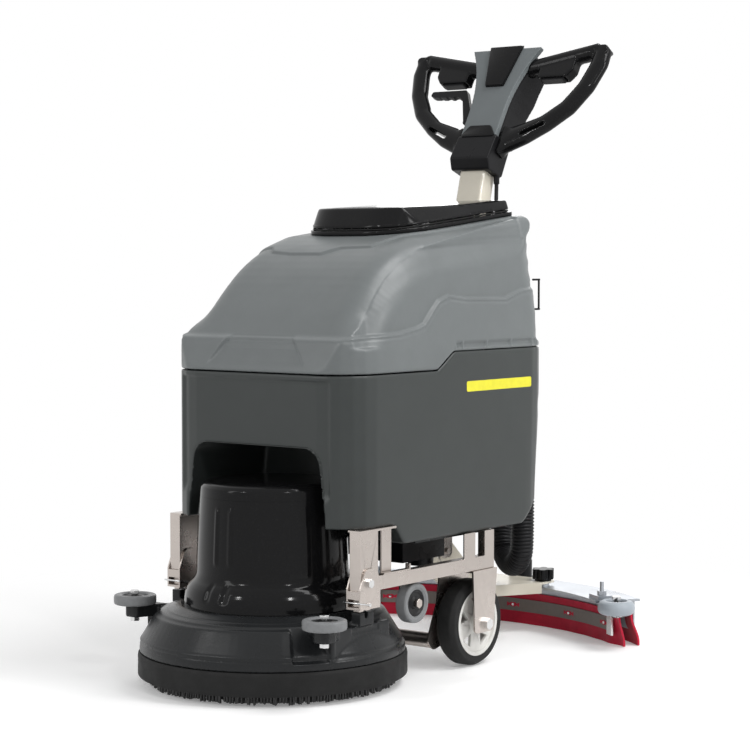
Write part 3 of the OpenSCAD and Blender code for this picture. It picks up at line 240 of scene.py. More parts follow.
LOOKS = {
    "grey_shell": moulded("tank_grey", (0.142, 0.155, 0.157), 0.36, 0.00007, shine=0.38),
    "dark_shell": moulded("tank_dark", (0.036, 0.041, 0.040), 0.36, 0.00007, shine=0.34),
    "black_gloss": glossy("gloss_black", (0.007, 0.007, 0.0075)),
    "black_matte": moulded("satin_black", (0.010, 0.010, 0.011), 0.30, shine=0.12),
    "grey_plastic": moulded("fascia_grey", (0.135, 0.150, 0.155), 0.38),
    "light_plastic": moulded("pale_plastic", (0.52, 0.52, 0.48), 0.45),
    "frame_steel": steel("frame_steel", (0.53, 0.48, 0.445)),
    "bright_steel": steel("bright_steel", (0.66, 0.66, 0.66), 0.2, (400, 400, 400)),
    "plate_steel": steel("plate_steel", (0.42, 0.44, 0.47), 0.3, (40, 600, 600)),
    "cream_paint": painted("cream_paint", (0.76, 0.71, 0.60)),
    "battery_case": moulded("battery_case", (0.02, 0.02, 0.022), 0.45),
    "motor": painted("motor_paint", (0.10, 0.10, 0.11)),
    "deck_casting": moulded("deck_black", (0.014, 0.015, 0.016), 0.28, 0.00007, shine=0.22),
    "black_rubber": rubber("skirt_rubber", (0.016, 0.016, 0.016)),
    "grey_rubber": rubber("wheel_grey", (0.20, 0.205, 0.21), 0.34),
    "red_rubber": rubber("blade_red", (0.47, 0.018, 0.045), 0.38),
    "blue_grey": moulded("wheel_pale", (0.38, 0.42, 0.46), 0.36),
    "rim_plastic": moulded("rim_white", (0.74, 0.73, 0.70), 0.34),
    "tyre": rubber("tyre_black", (0.022, 0.022, 0.022)),
    "hose": rubber("hose_black", (0.014, 0.014, 0.015), 0.42),
    "bristle": bristle_look(),
    "strap": moulded("strap_brown", (0.19, 0.165, 0.15), 0.4),
    "accent": painted("accent_yellow", (0.86, 0.80, 0.02), 0.35),
    "dark_hub": moulded("hub_black", (0.012, 0.012, 0.013), 0.4),
}
SLOT_OF = {part["node"]: part["material_slot"] for part in frame["record"]["subparts"]}

# ---------------------------------------------------------------- mesh helpers


def new_piece(name, mesh, slot, body, stands_for=()):
    """Links a mesh as a piece with a look, on a body, in place of CAD nodes."""
    piece = bpy.data.objects.new(name, mesh)
    bpy.context.scene.collection.objects.link(piece)
    mesh.materials.clear()
    mesh.materials.append(LOOKS[slot])
    if body:
        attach(piece, body)
    if stands_for:
        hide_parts(*stands_for)
    return piece


def finish_mesh(bm, name, angle=40):
    """Closes a bmesh into a mesh, smooth but for edges sharper than angle."""
    bmesh.ops.recalc_face_normals(bm, faces=bm.faces)
    mesh = bpy.data.meshes.new(name)
    bm.to_mesh(mesh)
    bm.free()
    mesh.shade_smooth()
    mesh.set_sharp_from_angle(angle=math.radians(angle))
    return mesh


def apply_modifiers(piece):
    """Bakes a piece's modifiers into its mesh, and returns the mesh."""
    graph = bpy.context.evaluated_depsgraph_get()
    mesh = bpy.data.meshes.new_from_object(piece.evaluated_get(graph))
    piece.modifiers.clear()
    piece.data = mesh
    return mesh


def softened(node, voxel, passes):
    """The CAD node as a moulded piece: remeshed finely, with its edges rounded."""
    data = nodes[node].data.copy()
    piece = new_piece(node + "_shell", data, SLOT_OF[node], nodes[node]["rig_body"], [node])
    weld = piece.modifiers.new("weld", "WELD")
    weld.merge_threshold = 0.00002
    remesh = piece.modifiers.new("remesh", "REMESH")
    remesh.mode = "VOXEL"
    remesh.voxel_size = voxel
    smooth_over(piece, passes)
    return piece


def smooth_over(piece, passes):
    """Evens out a dense mesh and shades it smooth."""
    smooth = piece.modifiers.new("smooth", "SMOOTH")
    smooth.iterations = passes
    apply_modifiers(piece).shade_smooth()


def reshape(piece, shift):
    """Moves each vertex to shift(place in mm, normal)."""
    mesh = piece.data
    moved = [shift(vertex.co / MM, vertex.normal) * MM for vertex in mesh.vertices]
    for vertex, place in zip(mesh.vertices, moved):
        vertex.co = place
    mesh.update()


def ramp(value, start, end):
    """0 at start to 1 at end, smooth."""
    t = min(1.0, max(0.0, (value - start) / (end - start)))
    return t * t * (3 - 2 * t)


def band(value, low, high, soft):
    """1 from low to high, falling to 0 over soft either side."""
    return ramp(value, low - soft, low + soft) * (1 - ramp(value, high - soft, high + soft))


def polyline_at(points, x):
    """Height of a polyline of (x, height) at x."""
    if x <= points[0][0]:
        return points[0][1]
    for (x0, y0), (x1, y1) in zip(points, points[1:]):
        if x <= x1:
            return y0 + (y1 - y0) * (x - x0) / (x1 - x0)
    return points[-1][1]


def smooth_path(points, step):
    """A Catmull-Rom curve through points, resampled at even steps."""
    pts = [Vector(p) for p in points]
    pts = [2 * pts[0] - pts[1]] + pts + [2 * pts[-1] - pts[-2]]
    dense = []
    for a, b, c, d in zip(pts, pts[1:], pts[2:], pts[3:]):
        for i in range(24):
            t = i / 24
            dense.append(0.5 * ((2 * b) + (c - a) * t + (2 * a - 5 * b + 4 * c - d) * t * t
                                + (3 * b - a - 3 * c + d) * t ** 3))
    dense.append(pts[-2])
    total = sum((q - p).length for p, q in zip(dense, dense[1:]))
    count = max(2, round(total / step))
    out, walked, k = [dense[0]], 0.0, 0
    for i in range(1, count):
        target = total * i / count
        while walked + (dense[k + 1] - dense[k]).length < target:
            walked += (dense[k + 1] - dense[k]).length
            k += 1
        share = (target - walked) / (dense[k + 1] - dense[k]).length
        out.append(dense[k].lerp(dense[k + 1], share))
    out.append(dense[-1])
    return out


def skin(bm, rings):
    """Joins equal rings of vertices with faces, and closes both ends."""
    for one, two in zip(rings, rings[1:]):
        for i in range(len(one)):
            j = (i + 1) % len(one)
            bm.faces.new((one[i], one[j], two[j], two[i]))
    bm.faces.new(rings[0])
    bm.faces.new(rings[-1])


def tube_mesh(bm, path, radius, sides=24):
    """Sweeps a round section along a path. radius(i) gives each ring's radius."""
    side = Vector((0.3, 1, 0.1))
    rings = []
    last = len(path) - 1
    for i, point in enumerate(path):
        along = (path[min(i + 1, last)] - path[max(i - 1, 0)]).normalized()
        side = (side - along * side.dot(along)).normalized()
        across = along.cross(side)
        r = radius(i)
        rings.append([bm.verts.new(point + r * (math.cos(t) * side + math.sin(t) * across))
                      for t in (2 * math.pi * k / sides for k in range(sides))])
    skin(bm, rings)


def lathe(profile, sides=96, bend=None):
    """Revolves a closed (radius, height) outline round Z. bend(r, z, angle) may move a point."""
    bm = bmesh.new()
    rings = []
    for k in range(sides):
        angle = 2 * math.pi * k / sides
        ring = []
        for r, z in profile:
            if bend:
                r, z = bend(r, z, angle)
            ring.append(bm.verts.new((r * math.cos(angle), r * math.sin(angle), z)))
        rings.append(ring)
    count = len(profile)
    for k in range(sides):
        here, there = rings[k], rings[(k + 1) % sides]
        for i in range(count):
            j = (i + 1) % count
            bm.faces.new((here[i], there[i], there[j], here[j]))
    bmesh.ops.remove_doubles(bm, verts=bm.verts, dist=1e-6)
    return bm


def rounded(points, radius, steps=4):
    """A closed outline with each corner rounded to radius."""
    out = []
    count = len(points)
    for i in range(count):
        p, q, s = (Vector(points[(i + k) % count]) for k in (-1, 0, 1))
        r = min(radius, (p - q).length * 0.45, (s - q).length * 0.45)
        start, end = q + (p - q).normalized() * r, q + (s - q).normalized() * r
        for k in range(steps + 1):
            t = k / steps
            out.append(tuple(start * (1 - t) ** 2 + q * 2 * t * (1 - t) + end * t * t))
    return out


# ---------------------------------------------------------------- cords

# Routes in mm, the same as the CAD's.
HOSE_ROUTE = [(118, 612, 470), (118, 612, 440), (121, 609, 395), (128, 602, 335), (133, 597, 290),
              (135, 594, 240), (134, 594, 196), (128, 598, 171), (112, 608, 153), (91, 621, 146),
              (70, 634, 153), (54, 644, 171), (48, 648, 196), (44, 656, 222), (37, 675, 244),
              (26, 704, 254), (14, 740, 244), (4, 768, 214), (0, 784, 187), (0, 788, 158),
              (0, 788, 129)]
HOSE_RADIUS = 23 * MM
HOSE_PITCH = 6.5 * MM
CABLE_ROUTE = [(40, 638, 900), (40, 638, 894), (41, 636, 880), (44, 631, 860), (48, 624, 838),
               (52, 616, 812), (56, 608, 785), (59, 602, 755), (60, 600, 720), (60, 599, 690),
               (60, 599, 650), (60, 599, 615), (60, 600, 580), (60, 601, 548), (60, 599, 532),
               (60, 594, 523), (60, 588, 521), (60, 586, 521)]
CABLE_RADIUS = 4 * MM


def make_hose():
    """Corrugated suction hose from the tank's elbow to the squeegee, with plain cuffs."""
    rings_a_rib = 6
    path = smooth_path([Vector(p) * MM for p in HOSE_ROUTE], HOSE_PITCH / rings_a_rib)
    last = len(path) - 1
    cuff = 4 * rings_a_rib

    def radius(i):
        if i < cuff or i > last - cuff:
            return HOSE_RADIUS
        wave = 0.5 + 0.5 * math.cos(2 * math.pi * i / rings_a_rib)
        return HOSE_RADIUS - 2.4 * MM * (1 - wave ** 0.6)

    bm = bmesh.new()
    tube_mesh(bm, path, radius, 28)
    hose = new_piece("suction_hose", finish_mesh(bm, "suction_hose", 60), "hose", None, ["vacuum_hose"])
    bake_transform(hose)


def make_cable():
    """Sheathed control cable from the clamp block to its gland in the tank's rear."""
    path = smooth_path([Vector(p) * MM for p in CABLE_ROUTE], 5 * MM)
    bm = bmesh.new()
    tube_mesh(bm, path, lambda i: CABLE_RADIUS, 16)
    cable = new_piece("sheathed_cable", finish_mesh(bm, "sheathed_cable", 60), "hose", "chassis",
                      ["control_cable"])


# ---------------------------------------------------------------- CAD nodes that stay

# Edge radius in mm where it isn't the usual 0.8, and looks other than the node's own slot.
BEVEL_OF = {"frame_posts": 1.6, "post_hangers": 1.4, "side_rails": 1.6, "wheel_forks": 2.2,
            "squeegee_arm": 1.6, "mast": 1.2, "rear_rim_left": 1.2, "rear_rim_right": 1.2,
            "squeegee_knob_left": 1.8, "squeegee_knob_right": 1.8, "squeegee_plate": 1.0,
            "lift_lever": 2.0, "water_valve": 3.0}
# The frame plate takes the black deck look as painted shade: a dark sheet standing for the shaded gap
# under the tank between the posts.
LOOK_OF = {"squeegee_plate": "plate_steel", "squeegee_knob_left": "black_gloss",
           "squeegee_knob_right": "black_gloss", "frame_plate": "deck_casting"}


def dress(node):
    """Gives a CAD node its look and small rounded edges."""
    thing = nodes[node]
    look = LOOKS[LOOK_OF.get(node, SLOT_OF[node])]
    for slot in thing.material_slots:
        slot.material = look
    if not thing.material_slots:
        thing.data.materials.append(look)
    weld = thing.modifiers.new("weld", "WELD")
    weld.merge_threshold = 0.00002
    bevel = thing.modifiers.new("bevel", "BEVEL")
    bevel.width = BEVEL_OF.get(node, 0.8) * MM
    bevel.segments = 3
    bevel.limit_method = "ANGLE"
    bevel.angle_limit = math.radians(40)
    bevel.harden_normals = True


# ---------------------------------------------------------------- tanks

# Radius of the upright corners, which the long upper edges get too, and depths of the moulded detail.
EDGE = 76.0
WAVE_DEPTH = 8.0
PANEL_DEPTH = 3.5
RIB_DEPTH = 4.0
# Step in the side of the recovery tank, as (y, z): the part above it is set in.
WAVE = [(-60, 615), (95, 622), (150, 630), (172, 637), (200, 662), (219, 677), (250, 686),
        (300, 681), (430, 679), (480, 693), (520, 697)]
# Front edge of the raised top panel, as (x, y).
PANEL = [(-216, 600), (-200, 430), (-192, 300), (-188, 156), (-125, 146), (-112, 130), (-63, 123),
         (8, 123), (37, 146), (102, 151), (122, 213), (140, 300), (152, 430), (160, 600)]
# Ribs in the grip channel along the foot of the recovery tank's side.
RIBS = (281, 357, 436, 506)


def slope_profile(mesh):
    """Points of the tank's front and top outline with their inward normals."""
    front, top = {}, {}
    for vertex in mesh.vertices:
        x, y, z = vertex.co / MM
        if 128 < abs(x) < 150:
            row, column = round(z / 3), round(y / 3)
            if z < 800:
                front[row] = min(front.get(row, 999), y)
            if y > 60:
                top[column] = max(top.get(column, 0), z)
    line = [(front[k], k * 3) for k in sorted(front) if k * 3 > 570 and front[k] < 60]
    line += [(k * 3, top[k]) for k in sorted(top)]
    tree = mathutils.kdtree.KDTree(len(line))
    normals = []
    for i, (y, z) in enumerate(line):
        tree.insert((0, y, z), i)
        (y0, z0), (y1, z1) = line[max(i - 9, 0)], line[min(i + 9, len(line) - 1)]
        normals.append(Vector((0, z1 - z0, y0 - y1)).normalized())
    tree.balance()
    return tree, normals


def round_slope(co, profile):
    """Rounds the long edges between the sloping front and the sides to the corners' own radius."""
    x, y, z = co
    weight = ramp(y, -34, 26) * (1 - ramp(z, 780, 835))
    side = 215 - max(0, z - 593) * 19 / 249
    across = abs(x) - side + EDGE
    if weight == 0 or across <= 0 or z < 600:
        return co
    tree, normals = profile
    found = tree.find_n((0, y, z), 7)
    inward = EDGE - found[0][2]
    if inward <= 0:
        return co
    normal = sum((normals[index] for _, index, _ in found), Vector()).normalized()
    keep = max(across, inward) / math.hypot(across, inward)
    change = (1 - keep) * weight
    place = Vector((x - math.copysign(across * change, x), y, z))
    return place + normal * inward * change


def recovery_shift(co, normal):
    """Adds the step and grip channel of the side, the raised top panel and the front facet."""
    x, y, z = co
    if abs(x) > 120 and z > 590:
        above = ramp(z - polyline_at(WAVE, y), -2.5, 2.5)
        bead = band(z - polyline_at(WAVE, y), -8, -4, 2.5)
        side = ramp(abs(x), 150, 200)
        rear = 1 - ramp(y, 500, 556)
        x -= math.copysign((WAVE_DEPTH * above - 2.2 * bead) * side * rear
                           + WAVE_DEPTH * side * (1 - rear) * ramp(z, 640, 760), x)
        rib = max(band(y, r - 2.5, r + 2.5, 1.5) for r in RIBS)
        x -= math.copysign(RIB_DEPTH * band(z, 590, 601, 1.5) * band(y, 262, 524, 5) * (1 - rib)
                           * ramp(abs(x), 196, 206), x)
    if normal.z > 0.1 and z > 640 and y < 520:
        raised = ramp(y - polyline_at(PANEL, x), -2, 4)
        sunk = normal * PANEL_DEPTH * (raised - 1) * ramp(z, 650, 720) * ramp(normal.z, 0.1, 0.5)
        x, y, z = x + sunk.x, y + sunk.y, z + sunk.z
    if normal.y < -0.3 and z < 626 and y < 0:
        half = 114 - (z - 563) * 0.77
        inside = (1 - ramp(abs(x), half - 4, half + 4)) * band(z, 568, 614, 6)
        y += inside * (1.0 + 7.0 * ramp(z, 560, 622))
    return Vector((x, y, z))


def solution_shift(co, normal):
    """Sets in the front panel of the solution tank, and draws in its lower rear corners."""
    x, y, z = co
    if normal.y < -0.4 and y < 20:
        inside = band(x, -176, 166, 5) * (1 - ramp(z, 538, 546)) * ramp(z, 330, 350)
        y += 5.0 * inside
    taper = ramp(y, 480, 570) * (1 - ramp(z, 260, 520))
    x -= math.copysign(7.0 * taper * ramp(abs(x), 120, 200), x)
    y -= 6.0 * taper
    dent = band(z, 462, 486, 12) * ramp(y, 530, 575) * ramp(abs(x), 150, 205)
    x -= math.copysign(3.0 * dent, x)
    return Vector((x, y, z))


def make_recovery_tank():
    """The upper tank, its long edges rounded before the finer shapes go in."""
    tank = softened("recovery_tank", 2.4 * MM, 8)
    profile = slope_profile(tank.data)
    reshape(tank, lambda co, normal: round_slope(co, profile))
    smooth_over(tank, 14)
    reshape(tank, recovery_shift)


def make_solution_tank():
    """The lower tank, with a blank yellow bar high on its side."""
    reshape(softened("solution_tank", 2.6 * MM, 10), solution_shift)
    side_bar("side_badge", Vector((215.2, 397, 520)), 210, 19)


def side_bar(name, centre, width, height, thick=1.2):
    """A thin plate with rounded corners on the right side, its face centred on centre."""
    corners = rounded([(-width / 2, -height / 2), (width / 2, -height / 2),
                       (width / 2, height / 2), (-width / 2, height / 2)], 4)
    bm = bmesh.new()
    skin(bm, [[bm.verts.new((centre + Vector((-depth, u, v))) * MM) for u, v in corners]
              for depth in (thick, 0)])
    new_piece(name, finish_mesh(bm, name, 30), "accent", "chassis")


# ---------------------------------------------------------------- lid

# Front edge of the lid's seat, the rise of its plane to the rear, and half its width.
LID = Vector((0, 214, 795))
LID_TILT = math.atan(42 / 345)
LID_HALF = 122
LID_SWEEP = 46
LID_CROWN = 5


def lid_shift(co, normal):
    """Carries the front corners of the lid back into one round sweep, and crowns its top."""
    c, s = math.cos(LID_TILT), math.sin(LID_TILT)
    d = co - LID
    along, up = d.y * c + d.z * s, d.z * c - d.y * s
    out = min(1.0, abs(d.x) / LID_HALF) ** 4
    along += LID_SWEEP * out * (1 - ramp(along, 10, 180))
    if up > 18:
        up -= LID_CROWN * out * (1 - ramp(along, 200, 300))
    return LID + Vector((d.x, along * c - up * s, along * s + up * c))


def make_lid():
    """Lid, seat and gasket, all bent to the same plan."""
    reshape(softened("tank_lid", 1.5 * MM, 40), lid_shift)
    reshape(softened("lid_seat", 1.5 * MM, 4), lid_shift)
    reshape(softened("lid_gasket", 0.9 * MM, 1), lid_shift)


# ---------------------------------------------------------------- handle and head

HEAD_LEAN = math.radians(30)
MAST_LEAN = math.radians(15)
MAST_FOOT = Vector((0, 460, 290))
MAST_LENGTH = 690
HEAD = MAST_FOOT + MAST_LENGTH * Vector((0, math.sin(MAST_LEAN), math.cos(MAST_LEAN)))
FASCIA_FACE = -28.0


def on_head(x, n, u):
    """World place in mm of a point across, behind and up along the head."""
    c, s = math.cos(HEAD_LEAN), math.sin(HEAD_LEAN)
    return HEAD + Vector((x, n * c + u * s, u * c - n * s))


def in_head(co):
    """How far across, behind and up along the head a world place in mm is."""
    c, s = math.cos(HEAD_LEAN), math.sin(HEAD_LEAN)
    d = co - HEAD
    return d.x, d.y * c - d.z * s, d.y * s + d.z * c


def head_prism(name, outline, near, far, slot, taper=0.0):
    """A raised panel on the head: an (x, u) outline from n = near back to n = far."""
    bm = bmesh.new()
    middle = sum((Vector(p) for p in outline), Vector((0, 0))) / len(outline)
    steps = [(near, 1 - taper - 0.02), (near + 0.6, 1 - taper * 0.9), (far - 1, 1.0), (far, 1.0)]
    rings = []
    for n, scale in steps:
        ring = []
        for point in outline:
            x, u = middle + (Vector(point) - middle) * scale
            ring.append(bm.verts.new(on_head(x, n, u) * MM))
        rings.append(ring)
    skin(bm, rings)
    new_piece(name, finish_mesh(bm, name, 35), slot, "chassis")


def fascia_shift(co, normal):
    """Levels the fascia under its raised panel, which is a piece of its own."""
    x, n, u = in_head(co)
    return on_head(x, max(n, FASCIA_FACE), u)


# Middle line of one handlebar loop as (x, u, half width).
LOOP = [(40, 27, 30), (46, 27, 30), (94, 47, 25), (135, 68.5, 20), (176, 103.5, 19.2), (203.5, 150, 19),
        (217.5, 201.5, 19), (218, 241.5, 17), (218, 260, 17)]
# Half the loops' depth, and how far behind the head's plane their middle lies.
LOOP_DEPTH = 15.0
LOOP_MIDDLE = -4.0


def crowned(co, normal):
    """Turns the flat-sided loops of the handlebar into round tubes."""
    x, n, u = in_head(co)
    weight = ramp(abs(x), 48, 66) * (1 - ramp(u, 222, 240))
    if weight == 0:
        return co
    here = Vector((abs(x), u))
    best = None
    for (x0, u0, w0), (x1, u1, w1) in zip(LOOP, LOOP[1:]):
        start, run = Vector((x0, u0)), Vector((x1 - x0, u1 - u0))
        t = min(1.0, max(0.0, (here - start).dot(run) / run.length_squared))
        foot = start + run * t
        away = (here - foot).length
        if best is None or away < best[0]:
            best = (away, foot, w0 + (w1 - w0) * t)
    away, foot, half = best
    weight *= 1 - ramp(away / half, 1.06, 1.22)
    a = min(1.0, away / half)
    b = min(1.0, max(-1.0, (n - LOOP_MIDDLE) / LOOP_DEPTH))
    there = foot + (here - foot) * math.sqrt(1 - b * b / 2)
    deep = LOOP_MIDDLE + LOOP_DEPTH * b * math.sqrt(1 - a * a / 2)
    there = here.lerp(there, weight)
    return on_head(math.copysign(there.x, x), n + (deep - n) * weight, there.y)


def make_head():
    """Handlebar, head shell, fascia and clamp, with their two raised black panels."""
    loops = softened("handlebar", 1.8 * MM, 10)
    loops.data.materials[0] = LOOKS["black_gloss"]
    reshape(loops, crowned)
    smooth_over(loops, 8)
    softened("head_shell", 1.6 * MM, 9)
    front = softened("fascia", 1.5 * MM, 4)
    reshape(front, fascia_shift)
    softened("clamp_block", 1.4 * MM, 5)
    head_prism("display_panel", rounded([(-22, 147), (22, 147), (40, 243), (-40, 243)], 3), -34.0,
               -27.0, "black_gloss", 0.05)
    head_prism("clamp_nose", rounded([(-40, 27), (40, 27), (40, 34), (26, 54), (-26, 54), (-40, 34)], 4),
               -32.0, -20.0, "black_gloss", 0.06)


# ---------------------------------------------------------------- brush motor cover

# Wall of the bell, and its outside as (radius, height).
COVER_SKIN = 4.0
COVER = [(157.5, 142.2), (157.5, 149), (156.8, 157), (154.8, 166), (151, 175), (145.5, 182.5),
         (140.5, 187.5), (137.6, 192.5), (136, 199), (135.2, 210), (134.2, 238), (131.8, 290),
         (129.6, 326), (129, 334.8)]


def degrees_from(angle, other):
    """How many degrees lie between an angle in radians and another in degrees."""
    return abs((math.degrees(angle) - other + 180) % 360 - 180)


def cover_bend(r, z, angle):
    """Vertical ribs on the front of the motor cover, and a dimple low on its flare."""
    grow = 0.0
    for at in (-83, -97):
        near = degrees_from(angle, at)
        grow += 2.2 * (1 - ramp(near, 0.9, 2.0)) * band(z, 222, 318, 5)
        grow -= 3.0 * (1 - ramp(near, 1.2, 2.6)) * band(z, 160, 187, 4)
    for at in (-30, -150):
        near = degrees_from(angle, at)
        grow += 1.5 * (1 - ramp(near, 7, 9)) * band(z, 205, 322, 5)
    return r + min(grow, 157.8 - r), z


def cap_bend(r, z, angle):
    """A step below the cap's rim that drops lower on one side of the front."""
    facing = math.degrees(angle)
    lower = ramp(facing, -108, -102) * (1 - ramp(facing, -56, -50))
    seam = 353 - 14 * lower
    if r > 110 and z > 335.2:
        r -= 0.9 * ramp(z, seam - 0.6, seam + 0.9)
    return r, z


def fine(profile, step):
    """An open outline resampled so that no side is longer than step."""
    out = [profile[0]]
    for (r0, z0), (r1, z1) in zip(profile, profile[1:]):
        count = max(1, math.ceil(math.hypot(r1 - r0, z1 - z0) / step))
        out += [(r0 + (r1 - r0) * k / count, z0 + (z1 - z0) * k / count) for k in range(1, count + 1)]
    return out


def scaled(bm):
    """Turns a bmesh drawn in mm to metres."""
    bmesh.ops.scale(bm, vec=(MM, MM, MM), verts=bm.verts)
    return bm


def make_motor_cover():
    """The bell over the brush motor, and the cap that closes it."""
    outer = fine(COVER, 4)
    inner = [(r - COVER_SKIN, z) for r, z in reversed(outer)]
    bm = scaled(lathe(outer + inner, 240, cover_bend))
    new_piece("brush_motor_bell", finish_mesh(bm, "brush_motor_bell", 45), "black_gloss", "deck",
              ["motor_cover"])
    edge = fine([(129, 335), (128.4, 344), (127.4, 351), (124.6, 356.2), (119, 359.6), (110, 361.2),
                 (92, 361.8), (60, 362), (0.02, 362)], 2.5)
    under = [(0.02, 357), (110, 357), (119, 355), (123, 350), (124, 344), (124, 335)]
    bm = scaled(lathe(edge + under, 240, cap_bend))
    new_piece("brush_motor_cap", finish_mesh(bm, "brush_motor_cap", 45), "black_gloss", "deck",
              ["motor_cap"])


# ---------------------------------------------------------------- deck and brush


def deck_shift(co, normal):
    """Fine concentric steps of the casting, and a crease round its raised front plate."""
    x, y, z = co
    r = math.hypot(x, y)
    if abs(x) > 150 and z > 112 and -45 < y < 30:
        # The bosses in the hangers keep a clear gap round them as they rise.
        return co - normal * 1.3
    if r < 20 or normal.z < -0.2:
        return co
    step = 0.0
    if 166 < r < 236:
        step += 1.3 * band(r, 184, 188, 1.5) + 1.0 * band(r, 233, 235, 1.0)
    if z < 82 and r > 228:
        step -= 1.5 * band(z, 76, 79, 1.2)
    facing = abs(math.degrees(math.atan2(x, -y)))
    if facing < 49 and r > 196:
        step += 0.8 * (1 - ramp(facing, 44, 48))
    inside = max(0.0, (r + step) / r) if r + step < 237.5 else 1.0
    return Vector((x * inside, y * inside, z))


def make_deck():
    """The deck casting, and its rubber skirt with a lip round the top."""
    deck = softened("brush_deck", 2.0 * MM, 5)
    reshape(deck, deck_shift)
    profile = [(239.2, 18.5), (240, 20), (240, 30), (239.7, 40), (239.9, 52), (239.3, 55.8),
               (237, 58.7), (232.5, 58.7), (232, 55.7), (236, 54.7), (236.2, 40), (236.4, 19.2),
               (237, 18.5)]
    bm = scaled(lathe(profile, 256))
    new_piece("rubber_skirt", finish_mesh(bm, "rubber_skirt", 50), "black_rubber", "deck",
              ["splash_skirt"])


# Bristle tips stay inside this radius.
BRUSH_REACH = 221.5


def make_springs():
    """Coil springs in the front posts."""
    points = [vertex.co for vertex in nodes["deck_springs"].data.vertices]
    low, high = min(p.z for p in points), max(p.z for p in points)
    front, rear = min(p.y for p in points), max(p.y for p in points)
    outer, wire = (rear - front) / 2, 1.3 * MM
    side = max(p.x for p in points) - outer
    turns, count = 14, 14 * 20
    bm = bmesh.new()
    for centre in (side, -side):
        path = []
        for k in range(count + 1):
            angle = 2 * math.pi * turns * k / count
            path.append(Vector((centre + (outer - wire) * math.cos(angle),
                                (front + rear) / 2 + (outer - wire) * math.sin(angle),
                                low + wire + (high - low - 2 * wire) * k / count)))
        tube_mesh(bm, path, lambda i: wire, 8)
    piece = new_piece("coil_springs", finish_mesh(bm, "coil_springs", 60), "bright_steel", "chassis",
                      ["deck_springs"])
    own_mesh(piece)


def make_bristles():
    """Tufts of bristle in rings, each a splayed, leaning bundle cut a little unevenly."""
    dice = random.Random(7)
    bm = bmesh.new()
    rings = [(216, 250), (206, 236), (194, 200), (176, 150), (156, 130), (134, 110), (112, 90), (92, 70)]
    for radius, count in rings:
        for k in range(count):
            angle = 2 * math.pi * (k + dice.uniform(-0.2, 0.2)) / count
            here = radius + dice.uniform(-1.5, 1.5)
            foot = Vector((here * math.cos(angle), here * math.sin(angle), 0))
            lean = Vector((dice.uniform(-2, 2), dice.uniform(-2, 2), 0))
            base = dice.uniform(0.2, 3.0)
            if radius > 210:
                base = dice.uniform(0.2, 4.5)
            spread, top = dice.uniform(2.4, 3.4), 1.5
            low_ring, high_ring, end_ring = [], [], []
            for i in range(10):
                t = 2 * math.pi * i / 10 + angle
                reach = 1.0 if i % 2 else 0.62
                out = Vector((math.cos(t), math.sin(t), 0))
                tip = foot + lean + out * spread * reach
                if math.hypot(tip.x, tip.y) > BRUSH_REACH:
                    tip *= BRUSH_REACH / math.hypot(tip.x, tip.y)
                tip.z = base + dice.uniform(0, 2.4)
                low_ring.append(bm.verts.new(tip * MM))
                mid = foot + lean * 0.4 + out * (spread + top) * 0.5 * reach
                mid.z = 19
                high_ring.append(bm.verts.new(mid * MM))
                root = foot + out * top * reach
                root.z = 38
                end_ring.append(bm.verts.new(root * MM))
            skin(bm, [low_ring, high_ring, end_ring])
    new_piece("bristle_tufts", finish_mesh(bm, "bristle_tufts", 70), "bristle", "brush", ["bristles"])


# ---------------------------------------------------------------- wheels


def turned(name, profile, slot, body, centre, axis, stands_for=(), sides=72, radius=0.8):
    """A lathe piece round a vertical or a crosswise axle. axis 'z', 'x' or '-x'."""
    bm = scaled(lathe(rounded(profile, radius, 3), sides))
    if axis != "z":
        turn = math.pi / 2 if axis == "x" else -math.pi / 2
        bmesh.ops.rotate(bm, verts=bm.verts, matrix=Matrix.Rotation(turn, 3, "Y"))
    bmesh.ops.translate(bm, vec=Vector(centre) * MM, verts=bm.verts)
    return new_piece(name, finish_mesh(bm, name, 38), slot, body, stands_for)


# Centre of the arcs that the squeegee's plate and blades follow.
ARC_Y = 248.0
# Foot of an upright axle, or inner end of a level one, on the side of +X.
BUMPER_AT = (220, -124, 132)
ROLLER_AT = (194, 139, 143)
END_WHEEL_REACH = 507
END_WHEEL_ANGLE = math.radians(35.2) + math.asin(38 / END_WHEEL_REACH)


